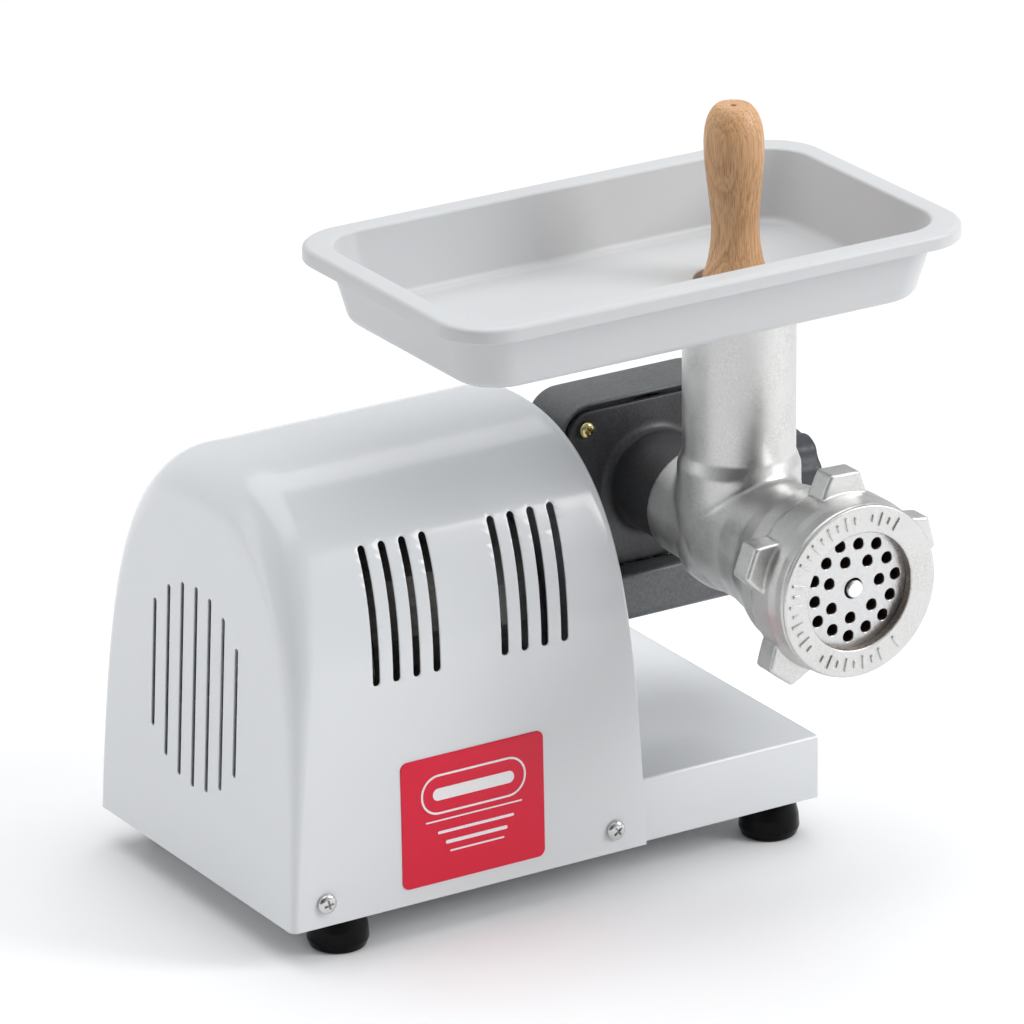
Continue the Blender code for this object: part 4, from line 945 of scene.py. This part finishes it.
def make_housing():
    """The black gear case: wheel case with a raised lip, worm tunnel below, boss behind."""
    tunnel = filleted([(HOUSING_LOW.y, HOUSING_LOW.z, 6), (HOUSING_HIGH.y, HOUSING_LOW.z, 10),
                       (HOUSING_HIGH.y, 119.0, 6), (HOUSING_LOW.y, 119.0, 3)], closed=True)
    boss = filleted([(0, 108, 0), (19, 108, 0), (18, 125.5, 1.5), (0, HOUSING_HIGH.y - 3.5, 0)])
    case = extruded("gear_case", housing_outline(0, 112.0), GEAR_FRONT, 118.0, "Y", rims=(0, 4.0))
    lip = extruded("lip", housing_outline(0, 122.0), 81.6, 86.0, "Y", rims=(1.4, 0))
    hollow = extruded("lip_hollow", housing_outline(1.9, 118.0), 78.0, GEAR_FRONT, "Y")
    carve(lip, hollow)
    worm_tunnel = extruded("worm_tunnel", tunnel, HOUSING_LOW.x, HOUSING_HIGH.x, "X", rims=(1.5, 2.5))
    back_boss = turned("back_boss", boss, "Y", HEAD, 64)
    fuse(case, lip, worm_tunnel, back_boss)
    worm_axis = (COVER_DEPTH / 2, SHAFT_Z)
    rooms = [plug("wheel_room", 44, 78, 114, "Y", HEAD),
             plug("worm_room", 18.6, 205, 304, "X", worm_axis, 64),
             plug("end_seat", 11.4, 300, 315, "X", worm_axis, 48),
             plug("bush_seat", 13.4, 110, 123, "Y", HEAD, 48)]
    carve(case, *rooms)
    blended(case, 0.8, 3)
    # Painted light: a lighter, greener copy of the black casting, so the case looks more lit than the front
    # plate.
    paint = black_casting("case_painted_light", (0.051, 0.056, 0.059), (0.098, 0.105, 0.109), 0.8)
    show(case, "machine", "black_casting", paint, "gear_housing", angle=60.0)


def make_gear_cover():
    """The front plate with the boss that holds the head's shank."""
    bottom = GEAR_COVER_LOW.z
    plate = extruded("gear_front", housing_outline(4.1, bottom), GEAR_COVER_FACE, GEAR_FRONT - GAP, "Y",
                     rims=(1.2, 0))
    profile = filleted([(0, 41.5, 0), (BOSS_RADIUS, 41.5, 1.4), (BOSS_RADIUS, 79.5, 5.0),
                        (BOSS_RADIUS + 6, 81.5, 0.6), (BOSS_RADIUS + 6, 83.0, 0), (0, 83.0, 0)])
    boss = turned("boss", profile, "Y", HEAD, 96)
    lug = filleted([(0, HEAD_X + 15, 0), (12, HEAD_X + 15, 0), (9, HEAD_X + 30, 3), (9, HEAD_X + 38, 1),
                    (0, HEAD_X + 38, 0)])
    knob_lug = turned("knob_lug", lug, "X", (KNOB_Y, HEAD_Z), 48)
    fuse(plate, boss, knob_lug)
    bore = [(0, 38), (SHANK_RADIUS + GAP, 38), (SHANK_RADIUS + GAP, 62), (16.35, 62.3), (16.35, 88), (0, 88)]
    tools = [turned("boss_bore", bore, "Y", HEAD, 96),
             extruded("screw_way", circle((KNOB_Y, HEAD_Z), 4.4, 32), HEAD_X + 15, HEAD_X + 42, "X")]
    for node in ("top_left", "top_right", "bottom_left", "bottom_right"):
        low, high = design_box("gear_screw_" + node)
        spot = middle(low, high, "xz")
        tools.append(extruded("screw_hole", circle(spot, 2.9, 24), 70.0, 88.0, "Y"))
        tools.append(extruded("spot_face", circle(spot, 6.2, 40), 70.0, GEAR_COVER_FACE + 0.5, "Y"))
    carve(plate, *tools)
    blended(plate, 0.7, 3)
    show(plate, "machine", "black_casting", None, "gear_cover", angle=60.0)


# --- Grinding head ----------------------------------------------------------------------------

RING_RADIUS = 45.8
RING_OPENING = 30.9
THREAD_RADIUS = 40.7
BARREL_BORE = 26.0
PLATE_RADIUS = 35.0
LUG_ANGLES = tuple(15.5 + 72.0 * turn for turn in range(5))
LUG_TIP_RADIUS = 57.3
RING_MARK_HEIGHT = 0.9
LUG_Y = (-94.0, -80.5)


def make_head():
    """The cast head: feed tube and barrel skinned as one, so they meet in a soft fillet."""
    front = -101.0
    barrel = [(0, 60), (SHANK_RADIUS, 60)]
    barrel += filleted([(SHANK_RADIUS, 41.15, 0), (29.0, 41.15, 1.2), (29.6, 20.0, 0), (31.0, 6.0, 10),
                        (33.0, -6.0, 10), (33.4, -32.0, 22), (37.0, -52.0, 22), (42.8, -68.0, 12),
                        (43.4, -78.5, 1.0), (THREAD_RADIUS, -78.7, 0)])
    barrel += [(THREAD_RADIUS, front), (0, front)]
    low = HEAD_Z - 33.0
    tube = filleted([(0, 294.1, 0), (29.0, 294.1, 0.4), (29.0, 206.0, 3), (31.6, 199.0, 6),
                     (32.0, HEAD_Z - 8, 18), (30.0, low + 13, 14), (17.0, low + 1.5, 20), (0, low, 0)])
    head = turned("head_casting", barrel, "Y", HEAD, 128)
    feed = turned("feed_tube", tube, "Z", (HEAD_X, THROAT_Y), 128)
    fuse(head, feed)
    bore = [(0, 65), (13.6, 65), (13.6, 28), (BARREL_BORE, 26), (BARREL_BORE, -87), (PLATE_RADIUS + 0.7, -87),
            (PLATE_RADIUS + 0.7, front - 5), (0, front - 5)]
    carve(head, turned("bore", bore, "Y", HEAD, 96),
          plug("feed_bore", 25.2, HEAD_Z, 300, "Z", (HEAD_X, THROAT_Y)))
    blended(head, 0.9, 3)
    soften_junction(head)
    show(head, "machine", "cast_aluminium", None, "head_body", angle=70.0)


def soften_junction(head):
    """Smooth the outer skin where the feed tube meets the barrel into a wide fillet."""
    group = head.vertex_groups.new(name="junction")
    for vertex in head.data.vertices:
        x, y, z = (vertex.co - ORIGIN) / MM
        from_tube = math.hypot(x - HEAD_X, y - THROAT_Y) - 30.5
        from_barrel = math.hypot(x - HEAD_X, z - HEAD_Z) - 32.0
        if z < HEAD_Z or from_tube < -3.0 or from_barrel < -3.0:
            continue
        near = 1.0 - min(1.0, math.hypot(from_tube, from_barrel) / 9.0)
        if near > 0:
            group.add([vertex.index], min(1.0, 1.8 * near), "REPLACE")
    soften = head.modifiers.new("fillet", "SMOOTH")
    soften.factor = 0.5
    soften.iterations = 70
    soften.vertex_group = "junction"
    baked(head)
    head.vertex_groups.clear()


def ring_lug(angle):
    """One grip lug of the ring nut."""
    corners = []
    for along, across, radius in ((42.5, -14.5, 0), (50.5, -11.5, 3), (LUG_TIP_RADIUS, -8.5, 2.2),
                                  (LUG_TIP_RADIUS, 8.5, 2.2), (50.5, 11.5, 3), (42.5, 14.5, 0)):
        corners.append((HEAD_X + along * math.cos(angle) - across * math.sin(angle),
                        HEAD_Z + along * math.sin(angle) + across * math.cos(angle), radius))
    return extruded("lug", filleted(corners, closed=True), *LUG_Y, "Y", rims=(1.6, 1.2))


def make_ring():
    """The ring nut: a turned body with five cast lugs."""
    bore = THREAD_RADIUS + GAP
    face = RING_LOW.y + RING_MARK_HEIGHT
    corners = [(RING_OPENING, face, 0.5), (RING_RADIUS - 0.5, face, 0.4),
               (RING_RADIUS - 0.5, face + 0.9, 0.2), (RING_RADIUS - 1.5, face + 1.4, 0.2),
               (RING_RADIUS, face + 2.3, 0.4), (RING_RADIUS, face + 8.0, 6), (RING_RADIUS + 0.9, -98.0, 6),
               (RING_RADIUS + 0.9, -84.0, 4), (RING_RADIUS - 0.6, -80.0, 0.8), (bore, -80.0, 0.3),
               (bore, -105.4, 0.3), (RING_OPENING, -105.4, 0.4)]
    profile = filleted(corners, closed=True)
    ring = turned("ring_casting", profile, "Y", HEAD, 144, closed=True)
    fuse(ring, *[ring_lug(math.radians(angle)) for angle in LUG_ANGLES])
    carve(ring, plug("thread_bore", bore, -105.3, -76.0, "Y", HEAD, 144))
    blended(ring, 0.55, 2)
    show(ring, "ring", "cast_aluminium", None, "ring_nut", angle=60.0)
    # The walls of the ring's opening take a painted shade, a dark brown metal.
    ring.data.materials.append(bore_shade_metal("bore_shade_casting", (0.16, 0.13, 0.11), (0.30, 0.26, 0.23), 0.8))
    shade_bore(ring, RING_OPENING + 0.6)
    make_ring_marks(face)


MARK_ARC = (55.0, 305.0)        # the stretch of the ring's face that carries marks
MARK_COUNT = 33


def make_ring_marks(face):
    """Plain raised marks cast in the ring's face, in pairs of a long and a short bar."""
    def marks(bm):
        for index in range(MARK_COUNT):
            if index % 9 == 4:
                continue
            angle = math.radians(MARK_ARC[0] + (MARK_ARC[1] - MARK_ARC[0]) * index / (MARK_COUNT - 1))
            inner, outer = (34.6, 42.0) if index % 2 == 0 else (36.4, 40.4)
            radial = Vector((math.cos(angle), math.sin(angle)))
            side = Vector((-radial.y, radial.x))
            corners = []
            for along, across in ((inner, -0.9), (outer, -0.9), (outer, 0.9), (inner, 0.9)):
                spot = Vector(HEAD) + radial * along + side * across
                corners.append((spot.x, spot.y, 0.5))
            prism(bm, filleted(corners, closed=True, step=30.0), face - RING_MARK_HEIGHT, face + 0.6, "Y",
                  rims=(0.3, 0.0), steps=2)
    made = solid("ring_marks", marks)
    show(made, "ring", "cast_aluminium")


PLATE_HOLE_RADIUS = 3.1
PLATE_HOLE_RINGS = ((15.5, 6.0), (25.2, 6.0), (23.4, 31.7))
HOLES_IN_RING = 7


def plate_hole(spot, radius):
    """A through-hole cutter with an eased mouth at both faces."""
    low, high = PLATE_LOW.y, PLATE_HIGH.y
    profile = [(0, low - 1), (radius + 0.3, low - 1), (radius + 0.3, low), (radius, low + 0.3),
               (radius, high - 0.3), (radius + 0.3, high), (radius + 0.3, high + 1), (0, high + 1)]
    return turned("plate_hole", profile, "Y", spot, 32)


def make_plate():
    """The perforated plate."""
    low, high = PLATE_LOW.y, PLATE_HIGH.y
    profile = filleted([(0, low, 0), (PLATE_RADIUS - 0.1, low, 0.5), (PLATE_RADIUS - 0.1, high, 0.5),
                        (0, high, 0)])
    plate = turned("hole_plate", profile, "Y", HEAD, 128)
    tools = [plate_hole(HEAD, 5.4)]
    for ring, first in PLATE_HOLE_RINGS:
        for index in range(HOLES_IN_RING):
            angle = math.radians(first + 360.0 * index / HOLES_IN_RING)
            tools.append(plate_hole((HEAD_X + ring * math.cos(angle), HEAD_Z + ring * math.sin(angle)),
                                    PLATE_HOLE_RADIUS))
    notch = rectangle((HEAD_X - 2.8, HEAD_Z - 40), (HEAD_X + 2.8, HEAD_Z - 31.5), (0, 0, 1, 1))
    tools.append(extruded("notch", notch, -101.6, high + 2, "Y"))
    carve(plate, *tools)
    paint = turned_face("plate_steel", HEAD, 0.45, 0.62, 0.30)
    show(plate, "plate", "steel", paint, "perforated_plate")
    # The hole walls take a near-black painted shade.
    plate.data.materials.append(bore_shade_metal("bore_shade_steel", (0.035, 0.020, 0.018), (0.085, 0.05, 0.042),
                                              0.4))
    shade_bore(plate, PLATE_RADIUS - 1.0)


def auger_radius(angle, position):
    """Neck, tapering core with one flight."""
    if position > 27.0:
        return 12.3
    if position > 24.0:
        return 14.0
    core = 11.0 + 3.0 * (24.0 - position) / 112.0
    fade = max(0.0, min(1.0, (24.0 - position) / 8.0, (position + 88.0) / 3.0))
    phase = (position + 2.0) / 33.0 - angle / (2 * math.pi)
    distance = abs((phase + 0.5) % 1.0 - 0.5) * 33.0
    crest = max(0.0, min(1.0, (2.0 + 3.2 - distance) / 3.2))
    return core + (25.0 - core) * fade * crest * crest * (3 - 2 * crest)


def make_auger():
    """Feed screw with its tang, the knife's square and the front stud."""
    def flight(bm):
        loops = []
        for step in range(181):
            position = -88.0 + 137.4 * step / 180
            loop = []
            for turn in range(72):
                angle = 2 * math.pi * turn / 72
                radius = auger_radius(angle, position)
                loop.append((HEAD_X + radius * math.sin(angle), position, HEAD_Z + radius * math.cos(angle)))
            loops.append(loop)
        loft(bm, loops)
    half = 6.2
    square = rectangle((HEAD_X - half, HEAD_Z - half), (HEAD_X + half, HEAD_Z + half), 0.8)
    stud_front = design_box("auger")[0].y
    stud = filleted([(0, stud_front, 0), (4.5, stud_front, 0.7), (4.5, -96, 0), (0, -96, 0)])
    auger = solid("feed_screw", flight, lambda bm: prism(bm, square, 48.0, 67.0, "Y", rims=(0, 0.8)),
                  lambda bm: prism(bm, square, -97.0, -87.0, "Y", rims=(0.5, 0)),
                  lambda bm: lathe(bm, stud, "Y", HEAD, 48))
    show(auger, "drive", "cast_aluminium", None, "auger")
    tip = filleted([(0, stud_front - 0.02, 0), (4.52, stud_front - 0.02, 0.7), (4.52, -97.5, 0),
                    (0, -97.5, 0)])
    cap = turned("stud_face", tip, "Y", HEAD, 48)
    show(cap, "drive", "steel", bright_steel("stud_steel", 0.82, (0.25, 0.35)))


def make_knob():
    """The lobed clamping knob."""
    outline = []
    for step in range(144):
        angle = 2 * math.pi * step / 144
        radius = 19.8 - 1.9 * (0.5 - 0.5 * math.cos(6 * angle)) ** 2
        outline.append((KNOB_Y + radius * math.cos(angle), HEAD_Z + radius * math.sin(angle)))
    start, end = KNOB_LOW.x, KNOB_HIGH.x
    knob = extruded("knob_grip", outline, start + 6, end, "X", rims=(1.5, 3.0), steps=6)
    neck = filleted([(0, start, 0), (10, start, 0.8), (12, start + 7.5, 0), (0, start + 7.5, 0)])
    fuse(knob, turned("knob_neck", neck, "X", (KNOB_Y, HEAD_Z), 64))
    dish = filleted([(0, end - 1.4, 0), (11, end - 1.4, 1.0), (12.5, end + 1, 0), (0, end + 1, 0)])
    carve(knob, extruded("socket", circle((KNOB_Y, HEAD_Z), 4.4, 32), start - 3, start + 16, "X"),
          turned("dish", dish, "X", (KNOB_Y, HEAD_Z), 64))
    paint = black_moulding("knob_plastic", 0.42, 0.7, (0.022, 0.025, 0.031), 0.5)
    show(knob, "knob", "black_plastic", paint, "lock_knob")


# --- Tray and pusher --------------------------------------------------------------------------

TRAY_DEPTH = 40.0
TRAY_CORNER = 30.0


def make_tray():
    """The deep tray: one wall profile carried round a rounded rectangle, with a spigot below."""
    rim = TRAY_HIGH.z
    floor = rim - TRAY_DEPTH
    section = filleted([(30.0, floor + 3.0, 0), (21.0, floor + 3.0, 6.0), (12.6, rim, 1.8), (0.0, rim, 2.8),
                        (0.0, rim - 8.0, 0.8), (2.2, rim - 8.0, 0.5), (2.6, rim - 3.4, 1.0),
                        (10.2, rim - 3.4, 1.6), (19.0, floor, 8.0), (30.0, floor, 0)], step=10.0)

    def bowl(bm):
        loops = []
        for inset, z in section:
            radius = TRAY_CORNER - 0.4 * inset
            low = (TRAY_LOW.x + inset, TRAY_LOW.y + inset)
            high = (TRAY_HIGH.x - inset, TRAY_HIGH.y - inset)
            loops.append([(x, y, z) for x, y in rectangle(low, high, radius, 5.0)])
        loft(bm, loops)
    tray = solid("tray_bowl", bowl)
    at = (HEAD_X, THROAT_Y)
    spigot = filleted([(0, 278.1, 0), (24.6, 278.1, 0.8), (24.6, floor + 2, 0), (0, floor + 2, 0)])
    fuse(tray, turned("spigot", spigot, "Z", at, 96))
    mouth = [(0, 274.0), (23.2, 274.0), (23.2, floor + 2.2), (23.6, floor + 2.7), (24.4, floor + 3.0),
             (24.4, floor + 8.0), (0, floor + 8.0)]
    carve(tray, turned("mouth", mouth, "Z", at, 96))
    show(tray, "tray", "white_plastic", None, "tray", angle=28.0)


GRIP_FOOT = 272.0
GRIP_LEAN = 2.2                 # how far the loose pusher leans to the left at its top


def make_pusher():
    """The turned wooden pusher, with a small drilled flat on top."""
    low, top = PUSHER_LOW.z, PUSHER_HIGH.z - 3.5
    grip = smooth_path([(21.0, 272.0), (20.2, 284.0), (17.4, 297.0), (13.9, 309.0), (12.1, 325.0),
                        (13.3, 343.0), (15.1, 362.0), (14.9, 376.0), (12.6, 384.5), (9.0, 389.4),
                        (6.6, top - 0.2)], 8)
    profile = [(0, low)] + filleted([(0, low, 0), (21.0, low, 1.5), (21.0, 272.0, 0)])[1:-1] + grip
    profile += filleted([(6.4, top, 0), (1.6, top, 0.4), (1.4, top - 5.0, 0), (0, top - 5.0, 0)])
    at = ((PUSHER_LOW.x + PUSHER_HIGH.x) / 2, THROAT_Y)
    pusher = turned("pusher_wood", profile, "Z", at, 96)
    for vertex in pusher.data.vertices:
        above = (vertex.co.z - ORIGIN.z) / MM - GRIP_FOOT
        vertex.co.x -= GRIP_LEAN * MM * max(0.0, above) / (top - GRIP_FOOT)
    show(pusher, "pusher", "wood", None, "pusher", angle=40.0)


# --- Electrics --------------------------------------------------------------------------------

def make_gland():
    """The ribbed cable gland in the back wall of the base."""
    low, high = design_box("cable_gland")
    at = middle(low, high, "xz")
    wall = BASE_HIGH.y
    profile = filleted([(3.6, wall - 12, 0), (6.0, wall - 12, 0.4), (6.0, wall + GAP, 0),
                        (9.7, wall + GAP, 0.6), (9.7, wall + 5.0, 0.8), (8.2, wall + 5.6, 0.5),
                        (8.2, high.y - 3.0, 1.2), (6.4, high.y, 0.8), (3.6, high.y, 0.5)], closed=True)
    gland = turned("gland_body", profile, "Y", at, 60, closed=True)
    flats = []
    for index in range(12):
        angle = 2 * math.pi * index / 12
        spot = (at[0] + 10.3 * math.cos(angle), at[1] + 10.3 * math.sin(angle))
        flats.append(extruded("grip", circle(spot, 1.2, 16), wall + 1.4, wall + 7.0, "Y"))
    carve(gland, *flats)
    show(gland, "machine", "black_plastic", None, "cable_gland")


def make_switch():
    """The rocker switch in the back of the cover: a bezel, and the rocker on its own body."""
    low, high = design_box("power_switch_housing")
    face = high.y - 2.2
    outline = rectangle((low.x, low.z), (high.x, high.z), 1.6)
    bezel = extruded("switch_bezel", outline, face, high.y, "Y", rims=(0.2, 1.0))
    block = rectangle((low.x + 1.9, low.z + 1.9), (high.x - 1.9, high.z - 1.9), 0.6)
    fuse(bezel, extruded("block", block, low.y, face + 1.0, "Y"))
    x, z = middle(low, high, "xz")
    pocket = rectangle((x - 7, z - 11), (x + 7, z + 11), 0.5)
    carve(bezel, extruded("pocket", pocket, face - 9.0, face + 4.0, "Y"))
    show(bezel, "machine", "black_plastic", None, "power_switch_housing")
    tilt = math.radians(-9.0)
    corners = []
    for up, out, radius in ((-10.0, 3.4, 0.8), (0.0, 1.8, 12.0), (10.0, 3.4, 0.8), (10.0, 0.2, 0.5),
                            (5.0, -3.6, 1.0), (-5.0, -3.6, 1.0), (-10.0, 0.2, 0.5)):
        corners.append((face - 1.6 + out * math.cos(tilt) - up * math.sin(tilt),
                        z + out * math.sin(tilt) + up * math.cos(tilt), radius))
    rocker = extruded("rocker", filleted(corners, closed=True), x - 6.5, x + 6.5, "X", rims=(0.5, 0.5),
                      steps=3)
    show(rocker, "rocker", "black_plastic", None, "power_switch_rocker")


# --- Carried-over pieces ----------------------------------------------------------------------

def repaint_frame():
    """Give every CAD node the finish of its own material slot."""
    slots = {part["node"]: part["material_slot"] for part in frame["record"]["subparts"]}
    for name, node in frame["nodes"].items():
        node.data.materials.clear()
        node.data.materials.append(FINISHES[slots[name]])
        finish_mesh(node, 35.0)


# --- Studio -----------------------------------------------------------------------------------

def make_camera():
    """The camera at the viewing angle, aimed relative to the cover's corner."""
    azimuth, elevation, roll = (math.radians(a) for a in (CAMERA_AZIMUTH, CAMERA_ELEVATION, CAMERA_ROLL))
    forward = Vector((math.sin(azimuth) * math.cos(elevation), math.cos(azimuth) * math.cos(elevation),
                      -math.sin(elevation)))
    level = Vector((math.cos(azimuth), -math.sin(azimuth), 0.0))
    upright = level.cross(forward)
    right = math.cos(roll) * level + math.sin(roll) * upright
    up = -math.sin(roll) * level + math.cos(roll) * upright
    aim = right * CAMERA_AIM_RIGHT + up * CAMERA_AIM_UP
    data = bpy.data.cameras.new("view")
    data.lens = CAMERA_LENS
    data.sensor_width = 36.0
    data.clip_end = 50.0
    camera = bpy.data.objects.new("view", data)
    turn = Matrix((right, up, -forward)).transposed().to_4x4()
    camera.matrix_world = Matrix.Translation(place(*(aim - forward * CAMERA_DISTANCE))) @ turn
    bpy.context.scene.collection.objects.link(camera)
    bpy.context.scene.camera = camera


def area_light(name, at, aim, size, power):
    """A soft panel at a place in metres, facing its aim."""
    data = bpy.data.lights.new(name, "AREA")
    data.shape = "RECTANGLE"
    data.size, data.size_y = size
    data.energy = power
    light = bpy.data.objects.new(name, data)
    direction = Vector(aim) - Vector(at)
    light.matrix_world = Matrix.Translation(at) @ direction.to_track_quat("-Z", "Y").to_matrix().to_4x4()
    bpy.context.scene.collection.objects.link(light)


ROOM_SIDE = (-0.55, -0.80, 0.24)    # the unlit side of the room, in front and to the left


def make_studio():
    """Pale floor, bright surroundings with one unlit side, and soft panels."""
    bm = bmesh.new()
    bmesh.ops.create_grid(bm, x_segments=1, y_segments=1, size=6.0)
    mesh = bpy.data.meshes.new("floor")
    bm.to_mesh(mesh)
    bm.free()
    floor = bpy.data.objects.new("floor", mesh)
    floor.location = (0.0, 0.0, CAD_BOUNDS[0][2])
    look = Finish("floor", (0.93, 0.93, 0.935), 0.7)
    look.color(look.mixed(look.noise(300.0), (0.925, 0.925, 0.93), (0.935, 0.935, 0.94)))
    floor.data.materials.append(look.material)
    bpy.context.scene.collection.objects.link(floor)
    world = bpy.data.worlds.new("studio")
    world.use_nodes = True
    nodes, links = world.node_tree.nodes, world.node_tree.links
    background = nodes["Background"]
    background.inputs["Color"].default_value = (0.97, 0.985, 1.0, 1.0)
    toward = nodes.new("ShaderNodeVectorMath")
    toward.operation = "DOT_PRODUCT"
    toward.inputs[1].default_value = ROOM_SIDE
    links.new(nodes.new("ShaderNodeTexCoord").outputs["Generated"], toward.inputs[0])
    fade = nodes.new("ShaderNodeMapRange")
    for index, number in enumerate((0.60, 0.95, 0.66, 0.07), start=1):
        fade.inputs[index].default_value = number
    links.new(toward.outputs["Value"], fade.inputs[0])
    links.new(fade.outputs[0], background.inputs["Strength"])
    bpy.context.scene.world = world
    bpy.context.scene.view_settings.view_transform = "Standard"
    area_light("top_panel", (0.1, 0.5, 3.8), (0.05, 0.0, 0.1), (4.2, 4.2), 90.0)
    area_light("left_panel", (-1.7, 0.9, 0.7), (0.0, 0.1, 0.15), (0.6, 1.5), 2.5)
    area_light("right_panel", (1.7, -1.5, 1.5), (0.08, 0.0, 0.1), (0.9, 1.5), 32.0)


# --- Assembly ---------------------------------------------------------------------------------

make_camera()
repaint_frame()
make_cover()
make_base()
make_feet()
make_screws()
make_label()
make_housing()
make_gear_cover()
make_head()
make_ring()
make_plate()
make_auger()
make_knob()
make_tray()
make_pusher()
make_gland()
make_switch()
make_studio()
